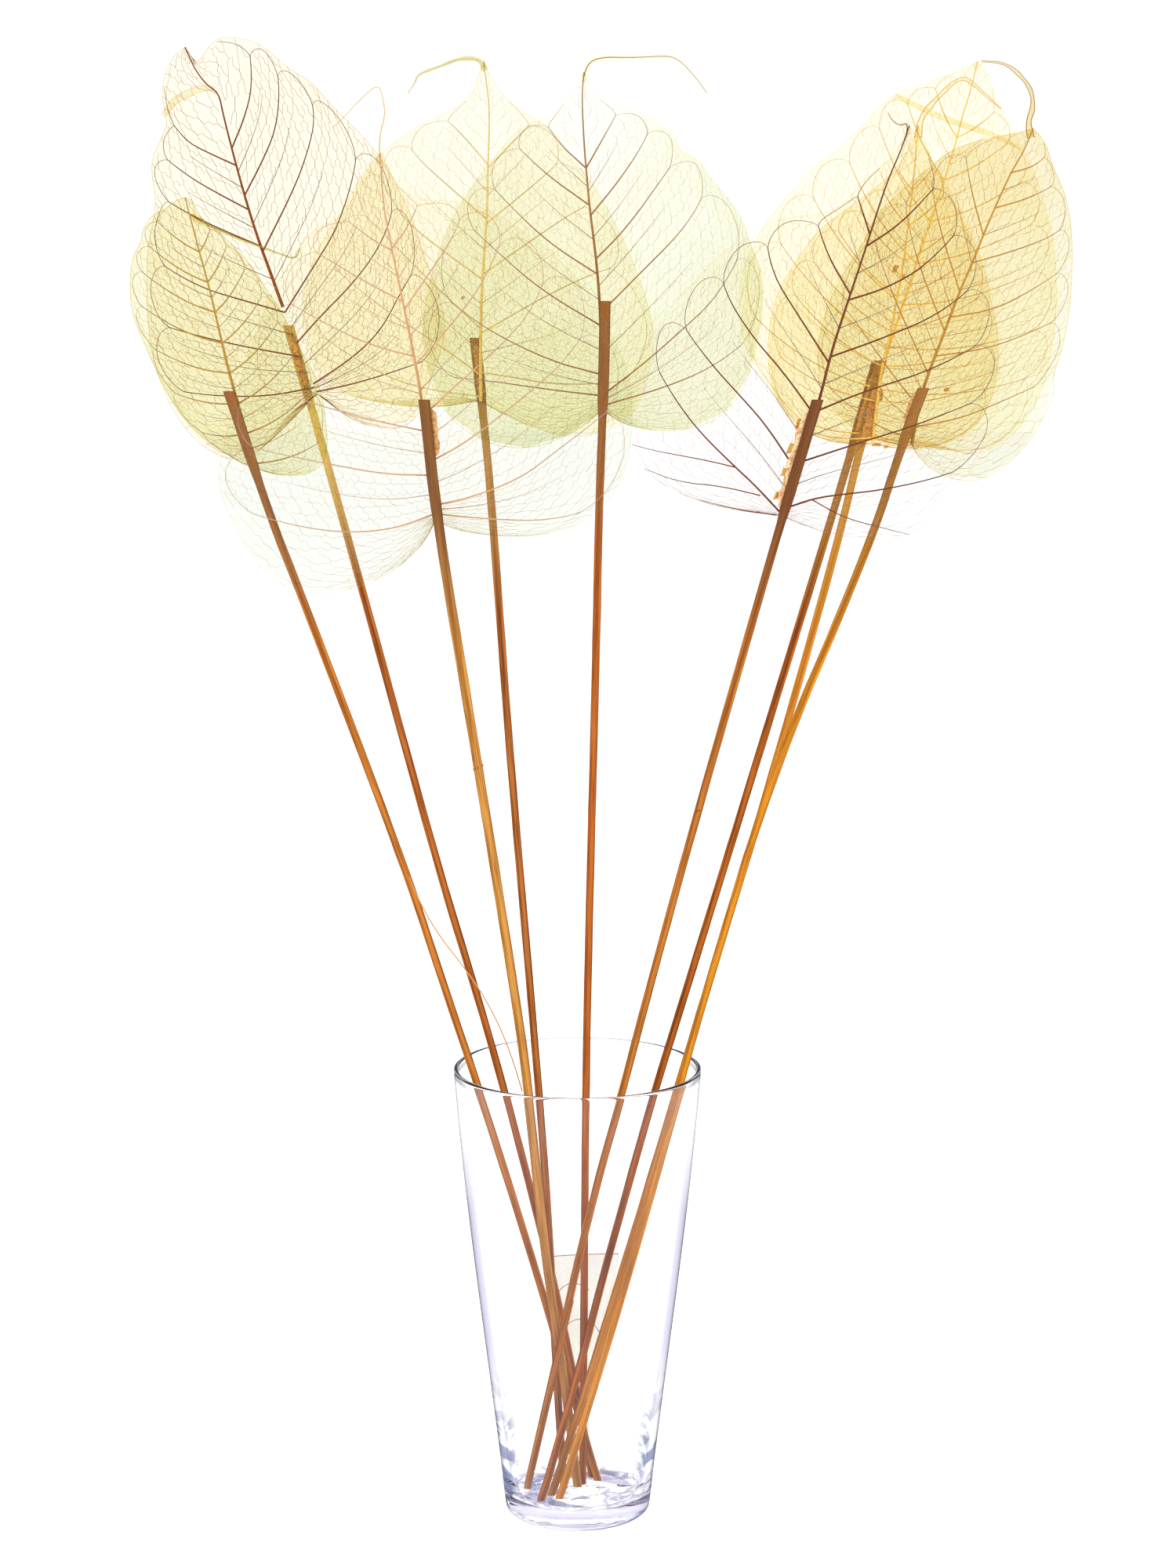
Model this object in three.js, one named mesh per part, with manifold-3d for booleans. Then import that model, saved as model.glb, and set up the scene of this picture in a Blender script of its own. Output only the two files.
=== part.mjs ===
// Nine skeleton leaves glued to thin wooden sticks that stand in a clear glass vase.
// Millimetres, +Z up. The origin is the centre of the vase's underside, on the table.
// The sticks and leaves fan out along X, and the leaves look towards -Y.
import * as THREE from "three";
import { mergeVertices } from "three/addons/utils/BufferGeometryUtils.js";
import Module from "manifold-3d";

const wasm = await Module();
wasm.setup();

// Vase: height, radii, wall and floor
const VASE_HEIGHT = 200;
const RIM_RADIUS = 53.5;
const FOOT_RADIUS = 32;
const WALL_AT_RIM = 2.1;
const WALL_AT_FOOT = 3;
const FLOOR_THICKNESS = 9;
const VASE_SIDES = 44;
// Outer radius at heights between foot and rim: the wall is a cone with a slight belly.
const VASE_SIDE_RADII = [
  [7, 32.3],
  [23, 33.9],
  [64, 38.9],
  [116, 45.4],
  [160, 50.2],
];

// Sticks: a splint's section, wider where the leaf is glued on, and the gap between touching pieces
const STICK_WIDTH = 3.4;
const STICK_DEPTH = 2.8;
const GLUED_WIDTH = 4.6;
const SEAT_GAP = 0.3;
const GLUE_THICKNESS = 0.7;

// Leaves: blade, ribs and the grid of a blade's half (rows follow the side veins)
const BLADE_THICKNESS = 0.8;
const SIDE_RIB = 0.45;
const CROSS_RIB = 0.22;
const MIDRIB = 0.6;
const ROWS = 22;
const COLUMNS = 6;
const TAIL_WIDTH = 1.9;
const TAIL_THICKNESS = 0.9;
// A leaf lies flat this far each side of its midrib before it turns and cups.
const FLAT_ZONE = 8;

// The photograph's eye point, which turns a point of its 1500 x 2000 frame and a depth into a place.
const EYE = { x: 4.57, distance: 1520, height: 594, pitch: 0.17576, focal: 4621 };
const FRAME_CENTRE = [750, 1000];
const MM_PER_PIXEL = 0.335;

// Each stick from its top to its foot, in pixels of the photograph's frame, with the depth in mm of
// its top and foot behind the vase's axis (negative is nearer the eye).
const STICKS = [
  {
    name: "stick_1",
    line: [[292, 499], [345, 660], [383, 755], [513, 1095], [574, 1280], [615, 1400], [684, 1620],
      [763, 1888]],
    top: -48, foot: 8, wood: 0x9a5a22,
  },
  {
    name: "stick_2",
    line: [[368, 415], [418, 593], [500, 890], [560, 1110], [612, 1280], [646, 1400], [689, 1565],
      [722, 1704], [757, 1888]],
    top: 28, foot: 12, wood: 0x8a4c1c,
  },
  {
    name: "stick_3",
    line: [[541, 510], [557, 662], [610, 978], [659, 1280], [674, 1390], [698, 1620], [715, 1721],
      [737, 1894]],
    top: -101, foot: 0.2, wood: 0xa8743a, wide: 1.2,
  },
  {
    name: "stick_4",
    line: [[606, 431], [620, 565], [630, 680], [650, 960], [678, 1280], [688, 1400], [700, 1555],
      [710, 1757], [720, 1906]],
    top: -22, foot: -1.2, wood: 0x94602a,
  },
  {
    name: "stick_5",
    line: [[772, 384], [769, 523], [764, 647], [760, 850], [752, 1150], [747, 1395], [745, 1673],
      [743, 1900]],
    top: -58, foot: 3.9, wood: 0xb4602c,
  },
  {
    name: "stick_6",
    line: [[1043, 510], [998, 660], [890, 1035], [823, 1280], [794, 1392], [767, 1487], [734, 1620],
      [708, 1745], [674, 1891]],
    top: -95.6, foot: -5.3, wood: 0xa55c28,
  },
  {
    name: "stick_7",
    line: [[1119, 460], [1093, 551], [1049, 700], [870, 1280], [834, 1395], [771, 1620],
      [739, 1745], [692, 1911]],
    top: 34, foot: -17.8, wood: 0x7a4420,
  },
  {
    name: "stick_8",
    line: [[1124, 460], [1102, 551], [1067, 700], [979, 1010], [896, 1280], [862, 1395],
      [794, 1620], [703, 1910]],
    top: 4, foot: -12.1, wood: 0xa8702a,
  },
  {
    name: "stick_9",
    line: [[1178, 495], [1152, 563], [1108, 700], [985, 985], [893, 1290], [864, 1395],
      [803, 1620], [715, 1908]],
    top: -28, foot: -16, wood: 0xc4862a,
  },
];

// Each leaf's outline in the same pixels: the midrib and both margins run from base to tip. It is
// glued behind (+1) or in front (-1) of its stick. turn is how much deeper it lies per mm to the
// right, cup how far its sides bend away and curl how far its tip bends away, in mm.
const LEAVES = [
  {
    name: "leaf_1", side: 1, turn: -0.1, cup: 3, curl: 4, tint: 0xd9dc9c,
    midrib: [[329, 598], [312, 545], [296, 489], [286, 450], [268, 371], [255, 324], [236, 252]],
    left: [[310, 592], [290, 580], [260, 560], [235, 535], [215, 505], [200, 475], [185, 440],
      [170, 405], [166, 380], [166, 350], [170, 325], [180, 310], [182, 292], [192, 276],
      [212, 266], [225, 255]],
    right: [[345, 604], [370, 607], [395, 604], [412, 592], [418, 572], [416, 540], [411, 505],
      [401, 476], [385, 450], [368, 415], [352, 386], [337, 366], [318, 335], [296, 312],
      [270, 288], [252, 274], [246, 254]],
    tail: [[243, 275], [262, 286], [296, 301], [330, 314], [360, 325], [377, 331], [383, 316]],
  },
  {
    name: "leaf_2", side: -1, turn: -0.1, cup: 4, curl: 8, tint: 0xf6efd8,
    midrib: [[405, 503], [385, 455], [363, 398], [344, 345], [332, 313], [317, 267], [301, 210],
      [285, 148], [279, 118], [264, 109], [248, 88], [236, 60]],
    left: [[375, 522], [350, 552], [330, 578], [300, 588], [272, 578], [248, 560], [228, 535],
      [210, 503], [196, 460], [188, 410], [187, 360], [189, 310], [196, 280], [199, 255],
      [194, 225], [193, 205], [203, 182], [214, 160], [210, 143], [206, 120], [210, 95],
      [220, 72]],
    right: [[416, 508], [434, 526], [455, 538], [485, 546], [512, 547], [535, 530], [547, 490],
      [560, 455], [568, 425], [565, 392], [552, 355], [540, 325], [525, 275], [510, 245],
      [495, 215], [477, 190], [453, 163], [424, 136], [395, 102], [368, 88], [339, 61],
      [318, 50], [278, 46], [262, 65], [252, 84]],
  },
  {
    name: "leaf_3", side: 1, turn: -0.08, cup: 5, curl: 6, tint: 0xf3ead2,
    midrib: [[555, 660], [548, 600], [538, 508], [526, 443], [513, 381], [498, 310], [488, 256],
      [485, 195]],
    left: [[551, 676], [533, 702], [505, 727], [470, 745], [434, 756], [398, 757], [368, 750],
      [342, 735], [316, 702], [296, 664], [282, 633], [278, 608], [284, 575], [296, 525],
      [312, 470], [330, 415], [348, 370], [372, 332], [392, 300], [412, 285], [435, 279],
      [450, 255], [462, 228], [478, 205]],
    right: [[570, 672], [600, 680], [640, 684], [690, 684], [735, 672], [770, 648], [792, 615],
      [803, 580], [807, 530], [804, 478], [776, 417], [740, 357], [694, 314], [645, 280],
      [620, 266], [587, 257], [540, 255], [515, 246], [500, 225], [491, 205]],
    tail: [[485, 208], [484, 175], [492, 146], [489, 127], [483, 105], [455, 131], [440, 148],
      [424, 163]],
  },
  {
    name: "leaf_4", side: -1, turn: -0.05, cup: 3, curl: 5, tint: 0xf1edcf,
    midrib: [[613, 512], [613, 418], [615, 357], [621, 280], [622, 219], [624, 167], [624, 133],
      [619, 96], [617, 78]],
    left: [[580, 505], [545, 508], [510, 512], [475, 511], [445, 505], [418, 492], [400, 468],
      [388, 430], [385, 390], [392, 350], [408, 312], [430, 278], [452, 240], [472, 208],
      [492, 190], [514, 173], [541, 156], [572, 142], [593, 130], [605, 118], [608, 100]],
    right: [[645, 530], [690, 550], [730, 558], [770, 552], [800, 538], [815, 515], [827, 478],
      [834, 445], [833, 410], [814, 351], [798, 311], [774, 265], [749, 222], [725, 200],
      [712, 173], [688, 154], [671, 145], [654, 133], [639, 118], [628, 100]],
    tail: [[619, 90], [612, 75], [587, 74], [560, 85], [532, 95], [530, 105], [520, 119]],
  },
  {
    name: "leaf_5", side: 1, turn: 0, cup: 4, curl: 6, tint: 0xf7f3cf,
    midrib: [[768, 522], [767, 450], [765, 384], [760, 326], [752, 265], [748, 219], [745, 185],
      [742, 121], [745, 92]],
    left: [[747, 543], [713, 560], [686, 570], [655, 572], [625, 566], [599, 553], [574, 533],
      [556, 505], [545, 470], [539, 430], [541, 390], [552, 345], [566, 302], [581, 271],
      [602, 237], [627, 204], [651, 176], [672, 158], [697, 152], [715, 138], [730, 113]],
    right: [[785, 535], [807, 545], [840, 550], [883, 548], [919, 533], [944, 505], [961, 464],
      [972, 400], [974, 350], [957, 312], [948, 280], [924, 246], [904, 226], [897, 210],
      [881, 197], [866, 194], [862, 176], [850, 163], [830, 150], [800, 139], [768, 129],
      [755, 116]],
    tail: [[744, 104], [749, 82], [765, 73], [811, 74], [853, 71], [868, 78], [884, 95],
      [902, 119]],
  },
  {
    name: "leaf_6", side: 1, turn: 0.08, cup: 5, curl: 6, tint: 0xf5f2e6,
    midrib: [[996, 658], [1020, 590], [1045, 512], [1060, 450], [1083, 380], [1100, 330],
      [1130, 235], [1150, 190], [1160, 160]],
    left: [[968, 652], [929, 646], [886, 637], [847, 620], [821, 601], [804, 577], [801, 540],
      [808, 490], [824, 442], [841, 412], [857, 391], [883, 361], [922, 321], [952, 304],
      [985, 282], [1030, 274], [1063, 270], [1085, 252], [1100, 230], [1125, 212], [1143, 195]],
    right: [[1020, 668], [1070, 685], [1120, 690], [1165, 682], [1200, 660], [1232, 622],
      [1258, 575], [1272, 520], [1276, 465], [1272, 410], [1258, 345], [1236, 285], [1208, 235],
      [1190, 208], [1178, 185]],
    tail: [[1157, 172], [1158, 156], [1148, 160], [1138, 154], [1133, 144]],
  },
  {
    name: "leaf_7", side: -1, turn: 0.08, cup: 4, curl: 6, tint: 0xf2e7a8,
    midrib: [[1108, 562], [1125, 470], [1138, 430], [1155, 380], [1170, 332], [1186, 285],
      [1203, 235], [1217, 190], [1227, 150], [1238, 116], [1247, 78]],
    left: [[1085, 566], [1050, 562], [1020, 545], [1000, 520], [980, 490], [960, 462], [948, 435],
      [942, 395], [946, 350], [957, 318], [968, 298], [984, 276], [1003, 251], [1027, 224],
      [1052, 202], [1079, 181], [1104, 156], [1125, 132], [1141, 120], [1171, 112], [1200, 98],
      [1226, 90]],
    right: [[1150, 560], [1185, 562], [1215, 575], [1250, 580], [1285, 562], [1312, 532],
      [1332, 490], [1343, 440], [1348, 385], [1346, 320], [1335, 270], [1322, 225], [1305, 190],
      [1290, 160], [1275, 140], [1267, 118], [1262, 92]],
  },
  {
    name: "leaf_8", side: -1, turn: 0.08, cup: 3, curl: 5, tint: 0xecdc92,
    midrib: [[1113, 566], [1124, 470], [1135, 430], [1143, 386], [1153, 334], [1159, 279],
      [1165, 233], [1171, 160]],
    left: [[1090, 567], [1055, 562], [1020, 549], [1000, 528], [985, 495], [978, 455], [982, 410],
      [993, 368], [1012, 338], [1034, 306], [1052, 287], [1076, 270], [1106, 248], [1133, 226],
      [1152, 203], [1163, 182]],
    right: [[1145, 572], [1185, 572], [1222, 561], [1250, 540], [1268, 502], [1274, 460],
      [1272, 420], [1264, 385], [1256, 345], [1242, 308], [1222, 268], [1203, 230], [1189, 206],
      [1180, 182]],
    tail: [[1171, 176], [1174, 150], [1195, 125], [1226, 96], [1245, 110], [1262, 126],
      [1277, 139]],
  },
  {
    name: "leaf_9", side: 1, turn: 0.08, cup: 4, curl: 5, tint: 0xe9cf7c,
    midrib: [[1163, 567], [1175, 500], [1205, 423], [1223, 374], [1241, 334], [1254, 300],
      [1287, 224], [1306, 193], [1318, 164]],
    left: [[1135, 566], [1098, 553], [1068, 530], [1050, 500], [1042, 465], [1045, 428],
      [1056, 388], [1079, 342], [1104, 307], [1116, 275], [1136, 256], [1165, 230], [1189, 211],
      [1211, 193], [1241, 181], [1269, 175], [1296, 170]],
    right: [[1172, 585], [1192, 602], [1215, 612], [1249, 614], [1272, 601], [1295, 583],
      [1313, 563], [1331, 533], [1345, 504], [1342, 481], [1355, 445], [1362, 410], [1367, 371],
      [1368, 300], [1361, 254], [1350, 228], [1342, 210], [1333, 180]],
    tail: [[1315, 176], [1311, 155], [1318, 138], [1316, 115], [1300, 94], [1281, 80],
      [1252, 78]],
  },
];

// Hot-melt glue between each stick and its leaf: how far it shows left and right of the stick's
// middle, in mm, and where it starts and ends along the glued length, as shares from top to base.
const GLUE = [
  { left: 1.4, right: 1.4, from: 0.08, to: 0.9, colour: 0xc98f4a },
  { left: 1.4, right: 1.3, from: 0.1, to: 0.9, colour: 0xc98f4a },
  { left: 1.2, right: 4.8, from: 0.06, to: 0.5, colour: 0xb5763a },
  { left: 1.3, right: 1.5, from: 0.08, to: 0.9, colour: 0xc98f4a },
  { left: 1.5, right: 1.4, from: 0.08, to: 0.9, colour: 0xc98f4a },
  { left: 5.2, right: 1.3, from: 0.06, to: 0.94, colour: 0xd8a252 },
  { left: 1.4, right: 1.4, from: 0.1, to: 0.88, colour: 0xc98f4a },
  { left: 1.3, right: 4.4, from: 0.3, to: 0.98, colour: 0xd0852c },
  { left: 4.2, right: 1.4, from: 0.05, to: 0.6, colour: 0xc27a34 },
];
const GLUE_ROWS = 9;

// A scrap of leaf skeleton stands behind the sticks, with its point on the vase's floor.
const SCRAP = {
  left: [[744, 1880], [733, 1745], [716, 1690], [706, 1640], [705, 1600]],
  right: [[752, 1880], [752, 1745], [768, 1690], [784, 1640], [791, 1597]],
  foot: 17, top: 30,
};
const SCRAP_ROWS = 7;

// A repeatable random number generator, so that every build is alike.
function seeded(seed) {
  let state = seed;
  return () => {
    state = (state * 1664525 + 1013904223) % 4294967296;
    return state / 4294967296;
  };
}

// The place in millimetres of a point of the photograph's frame at a depth behind the vase's axis.
function place([px, py], depth) {
  const across = (px - FRAME_CENTRE[0]) / EYE.focal;
  const down = (py - FRAME_CENTRE[1]) / EYE.focal;
  const ahead = Math.cos(EYE.pitch) - down * Math.sin(EYE.pitch);
  const rise = -Math.sin(EYE.pitch) - down * Math.cos(EYE.pitch);
  const reach = (depth + EYE.distance) / ahead;
  return new THREE.Vector3(EYE.x + reach * across, depth, EYE.height + reach * rise);
}

// A point part of the way along a chain of points, by length.
function along(points, share) {
  const lengths = points.slice(1).map((p, i) => Math.hypot(p[0] - points[i][0], p[1] - points[i][1]));
  let left = share * lengths.reduce((sum, length) => sum + length, 0);
  for (let i = 0; i < lengths.length; i++) {
    if (left <= lengths[i] || i === lengths.length - 1) {
      const t = left / lengths[i];
      return [
        points[i][0] + (points[i + 1][0] - points[i][0]) * t,
        points[i][1] + (points[i + 1][1] - points[i][1]) * t,
      ];
    }
    left -= lengths[i];
  }
  return points[points.length - 1];
}

// The chain's pixel column at a pixel row, for a chain that runs steadily up or down the frame.
function columnAt(points, row) {
  const rising = points[0][1] > points[points.length - 1][1] ? points.slice().reverse() : points;
  let i = 0;
  while (i < rising.length - 2 && row > rising[i + 1][1]) i++;
  const [a, b] = [rising[i], rising[i + 1]];
  const t = THREE.MathUtils.clamp((row - a[1]) / (b[1] - a[1]), 0, 1);
  return a[0] + (b[0] - a[0]) * t;
}

// A stick's depth at a pixel row: it runs straight from top to foot, and on beyond both.
function stickDepth(stick, row) {
  const [top, foot] = [stick.line[0][1], stick.line[stick.line.length - 1][1]];
  return stick.top + ((stick.foot - stick.top) * (row - top)) / (foot - top);
}

// A leaf's depth at a point of the frame: it lies flat on its stick's glue, then turns, cups,
// curls at the tip and waves towards its margins.
function leafDepth(leaf, stick, [px, py]) {
  const base = leaf.midrib[0][1];
  const tip = leaf.midrib[leaf.midrib.length - 1][1];
  const seat = STICK_DEPTH / 2 + 2 * SEAT_GAP + GLUE_THICKNESS + MIDRIB + BLADE_THICKNESS / 2;
  const across = (px - columnAt(leaf.midrib, py)) * MM_PER_PIXEL;
  const free = across - FLAT_ZONE * Math.tanh(across / FLAT_ZONE);
  const above = Math.max(0, (stick.line[0][1] - py) / (stick.line[0][1] - tip));
  const wave = Math.sin((base - py) / 21 + 2 * leaf.side + px / 90) * Math.min(1, Math.abs(free) / 60);
  return (
    stickDepth(stick, py) +
    leaf.side * seat +
    leaf.turn * free +
    leaf.cup * (free / 75) ** 2 +
    leaf.curl * above ** 2 +
    1.8 * wave
  );
}

// A closed body from rings of equally many points, each ring a convex outline, from low to high.
function loft(rings) {
  const sides = rings[0].length;
  const positions = rings.flat().flatMap((p) => [p.x, p.y, p.z]);
  const index = [];
  for (let r = 0; r + 1 < rings.length; r++) {
    for (let s = 0; s < sides; s++) {
      const next = (s + 1) % sides;
      const [a, b] = [r * sides + s, r * sides + next];
      index.push(a, b, b + sides, a, b + sides, a + sides);
    }
  }
  const last = (rings.length - 1) * sides;
  for (let s = 1; s + 1 < sides; s++) {
    index.push(0, s + 1, s);
    index.push(last, last + s, last + s + 1);
  }
  return new THREE.BufferGeometry()
    .setAttribute("position", new THREE.Float32BufferAttribute(positions, 3))
    .setIndex(index);
}

// A geometry as a solid, and a solid as a geometry.
function solid(geometry) {
  const bare = new THREE.BufferGeometry().setAttribute("position", geometry.getAttribute("position"));
  if (geometry.index) bare.setIndex(geometry.index);
  const merged = mergeVertices(bare, 1e-3);
  return new wasm.Manifold(
    new wasm.Mesh({
      numProp: 3,
      vertProperties: new Float32Array(merged.attributes.position.array),
      triVerts: new Uint32Array(merged.index.array),
    }),
  );
}

function geometryOf(body) {
  const mesh = body.getMesh();
  return new THREE.BufferGeometry()
    .setAttribute("position", new THREE.BufferAttribute(mesh.vertProperties, mesh.numProp))
    .setIndex(new THREE.BufferAttribute(mesh.triVerts, 1));
}

// The vase: one turned profile, from the middle of the underside round the rim to the floor.
function vaseGeometry() {
  const outside = [[FOOT_RADIUS - 5, 0], [FOOT_RADIUS - 2, 1], [FOOT_RADIUS - 0.4, 3.4]];
  outside.push(...VASE_SIDE_RADII.map(([height, radius]) => [radius, height]));
  outside.push([RIM_RADIUS, VASE_HEIGHT - 1]);
  const rimMiddle = RIM_RADIUS - WALL_AT_RIM / 2;
  const inside = VASE_SIDE_RADII.slice(1).map(([height, radius]) => {
    const up = height / VASE_HEIGHT;
    return [radius - WALL_AT_FOOT + (WALL_AT_FOOT - WALL_AT_RIM) * up, height];
  });
  const profile = [
    [0, 0],
    ...outside,
    [rimMiddle, VASE_HEIGHT],
    [RIM_RADIUS - WALL_AT_RIM, VASE_HEIGHT - 1],
    ...inside.reverse(),
    [FOOT_RADIUS - WALL_AT_FOOT - 0.4, FLOOR_THICKNESS + 2.6],
    [FOOT_RADIUS - WALL_AT_FOOT - 2.6, FLOOR_THICKNESS],
    [0, FLOOR_THICKNESS],
  ];
  const turned = new THREE.LatheGeometry(
    profile.map(([radius, height]) => new THREE.Vector2(radius, height)),
    VASE_SIDES,
  );
  return turned.rotateX(Math.PI / 2);
}

// A stick: six-sided level rings along its line, wider where its leaf is glued on.
function stickGeometry(stick, leaf) {
  const points = stick.line.map((point) => place(point, stickDepth(stick, point[1])));
  const [above, foot] = points.slice(-2);
  const footHeight = FLOOR_THICKNESS + SEAT_GAP;
  foot.lerpVectors(above, foot, (above.z - footHeight) / (above.z - foot.z));
  const curve = new THREE.CatmullRomCurve3(points.reverse(), false, "centripetal");
  const base = place(leaf.midrib[0], stickDepth(stick, leaf.midrib[0][1])).z;
  const rings = curve.getSpacedPoints(13).map((centre, i, all) => {
    const [before, after] = [all[Math.max(0, i - 1)], all[Math.min(all.length - 1, i + 1)]];
    const lean = Math.hypot(after.x - before.x, after.z - before.z) / (after.z - before.z);
    const width = (centre.z > base ? GLUED_WIDTH : STICK_WIDTH * (stick.wide ?? 1)) * lean;
    const [half, corner, thick] = [width / 2, width * 0.4, STICK_DEPTH / 2];
    const section = [[-half, 0], [-corner, -thick], [corner, -thick], [half, 0], [corner, thick],
      [-corner, thick]];
    return section.map(([x, y]) => new THREE.Vector3(centre.x + x, centre.y + y, centre.z));
  });
  return loft(rings);
}

// A half blade's row of picture points from the midrib to the margin. The rows fan out from the
// base and bend up towards the tip as the side veins do.
function bladeRow(leaf, margin, row) {
  const share = (row + 0.6) / (ROWS + 0.75);
  const start = along(leaf.midrib, share ** 1.3);
  const end = along(margin, share);
  if (row === 0) {
    return Array.from({ length: COLUMNS + 1 }, (_, c) =>
      c === 0 ? leaf.midrib[0] : along(margin, (share * c) / COLUMNS));
  }
  const low = along(margin, share * 0.8);
  const bend = 0.16 * Math.sin(Math.PI * share);
  return Array.from({ length: COLUMNS + 1 }, (_, c) => {
    const t = c / COLUMNS;
    const sag = bend * t * (1 - t) * 4 * 0.5;
    return [0, 1].map((k) => start[k] + (end[k] - start[k]) * t + (low[k] - end[k]) * sag);
  });
}

// A leaf's blade: both faces share one grid, raised alike along the midrib, the side veins and,
// lower, along the cross veins between them.
function bladeGeometry(leaf, stick) {
  const base = leaf.midrib[0];
  const tip = leaf.midrib[leaf.midrib.length - 1];
  const margins = [leaf.left, leaf.right].map((margin) => [base, ...margin, tip]);
  const width = 2 * COLUMNS + 1;
  const positions = [];
  for (const face of [-1, 1]) {
    for (let r = 0; r <= ROWS; r++) {
      const [left, right] = margins.map((margin) => bladeRow(leaf, margin, r));
      [...left.slice(1).reverse(), ...right].forEach((point, i) => {
        const c = Math.abs(i - COLUMNS);
        const inner = r > 0 && r < ROWS && c < COLUMNS;
        const rib = r % 2 === 0 ? SIDE_RIB * (1 - 0.5 * (c / COLUMNS)) : CROSS_RIB * (c % 2);
        const height = c === 0 ? MIDRIB * (1 - 0.6 * (r / ROWS)) : inner ? rib : 0;
        const half = BLADE_THICKNESS / 2 + height;
        const spot = place(point, leafDepth(leaf, stick, point) + face * half);
        positions.push(spot.x, spot.y, spot.z);
      });
    }
  }
  const back = width * (ROWS + 1);
  const index = [];
  for (let r = 0; r < ROWS; r++) {
    for (let i = 0; i < width - 1; i++) {
      const a = r * width + i;
      const [b, d, e] = [a + 1, a + width, a + width + 1];
      const halves = i < COLUMNS ? [[a, b, d], [b, e, d]] : [[a, b, e], [a, e, d]];
      for (const [p, q, s] of halves) {
        index.push(p, q, s);
        index.push(back + p, back + s, back + q);
      }
    }
  }
  // The cut edge all round joins the two faces.
  const ring = [];
  for (let i = 0; i < width - 1; i++) ring.push(i);
  for (let r = 0; r < ROWS; r++) ring.push(r * width + width - 1);
  for (let i = width - 1; i > 0; i--) ring.push(ROWS * width + i);
  for (let r = ROWS; r > 0; r--) ring.push(r * width);
  ring.forEach((a, i) => {
    const b = ring[(i + 1) % ring.length];
    index.push(a, back + a, back + b, a, back + b, b);
  });
  return new THREE.BufferGeometry()
    .setAttribute("position", new THREE.Float32BufferAttribute(positions, 3))
    .setIndex(index);
}

// A leaf's drawn-out tip, a narrow strip that starts inside the blade.
function tailGeometry(leaf, stick) {
  const start = leafDepth(leaf, stick, leaf.tail[0]);
  const points = leaf.tail.map((point, i) => place(point, start + 0.8 * i * leaf.side));
  const curve = new THREE.CatmullRomCurve3(points, false, "centripetal");
  const [half, thin] = [TAIL_WIDTH / 2, TAIL_THICKNESS / 2];
  const section = new THREE.Shape(
    [[-thin, -half], [thin, -half], [thin, half], [-thin, half]].map((p) => new THREE.Vector2(...p)),
  );
  return new THREE.ExtrudeGeometry(section, {
    steps: 3 * (points.length - 1),
    bevelEnabled: false,
    extrudePath: curve,
  });
}

function leafGeometry(leaf, stick) {
  const blade = solid(bladeGeometry(leaf, stick));
  return geometryOf(leaf.tail ? blade.add(solid(tailGeometry(leaf, stick))) : blade);
}

// The glue in the gap between stick and midrib: a thin bead with uneven edges, in level rings.
function glueGeometry(glue, leaf, stick, seed) {
  const random = seeded(seed);
  const [top, base] = [stick.line[0][1], leaf.midrib[0][1]];
  const rings = [];
  for (let r = 0; r <= GLUE_ROWS; r++) {
    const share = glue.to + ((glue.from - glue.to) * r) / GLUE_ROWS;
    const row = top + (base - top) * share;
    const centre = place([columnAt(stick.line, row), row], stickDepth(stick, row));
    const taper = r === 0 || r === GLUE_ROWS ? 0.45 : 1;
    const near = centre.y + leaf.side * (STICK_DEPTH / 2 + SEAT_GAP);
    const far = near + leaf.side * GLUE_THICKNESS;
    const left = centre.x - glue.left * taper * (0.7 + 0.3 * random());
    const right = centre.x + glue.right * taper * (0.7 + 0.3 * random());
    const [front, rear] = [Math.min(near, far), Math.max(near, far)];
    rings.push([[left, front], [right, front], [right, rear], [left, rear]].map(
      ([x, y]) => new THREE.Vector3(x, y, centre.z)));
  }
  return loft(rings);
}

// The scrap: a thin bent wedge in level rings.
function scrapGeometry() {
  const rings = [];
  for (let r = 0; r <= SCRAP_ROWS; r++) {
    const share = r / SCRAP_ROWS;
    const depth = SCRAP.foot + (SCRAP.top - SCRAP.foot) * share;
    const bow = 2 * Math.sin(Math.PI * share);
    const [left, right] = [SCRAP.left, SCRAP.right].map((edge) => place(along(edge, share), depth));
    const height = r === 0 ? FLOOR_THICKNESS + SEAT_GAP : (left.z + right.z) / 2;
    const half = BLADE_THICKNESS / 2;
    rings.push([
      [left.x, depth - half],
      [(left.x + right.x) / 2, depth + bow - half],
      [right.x, depth - half],
      [right.x, depth + half],
      [(left.x + right.x) / 2, depth + bow + half],
      [left.x, depth + half],
    ].map(([x, y]) => new THREE.Vector3(x, y, height)));
  }
  return loft(rings);
}

function addPiece(group, name, geometry, colour, roughness, extra = {}) {
  geometry.computeVertexNormals();
  const material = new THREE.MeshStandardMaterial({ color: colour, roughness, metalness: 0, ...extra });
  const mesh = new THREE.Mesh(geometry, material);
  mesh.name = name;
  group.add(mesh);
}

const arrangement = new THREE.Group();
const sheer = { transparent: true, opacity: 0.6, side: THREE.DoubleSide };
addPiece(arrangement, "vase", vaseGeometry(), 0xf4f4fa, 0.03, { transparent: true, opacity: 0.3 });
STICKS.forEach((stick, i) => {
  const leaf = LEAVES[i];
  addPiece(arrangement, stick.name, stickGeometry(stick, leaf), stick.wood, 0.6);
  addPiece(arrangement, leaf.name, leafGeometry(leaf, stick), leaf.tint, 0.7, sheer);
  addPiece(arrangement, `glue_${i + 1}`, glueGeometry(GLUE[i], leaf, stick, 11 + i), GLUE[i].colour, 0.35);
});
addPiece(arrangement, "leaf_scrap", scrapGeometry(), 0xf5f1de, 0.7, sheer);

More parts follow.
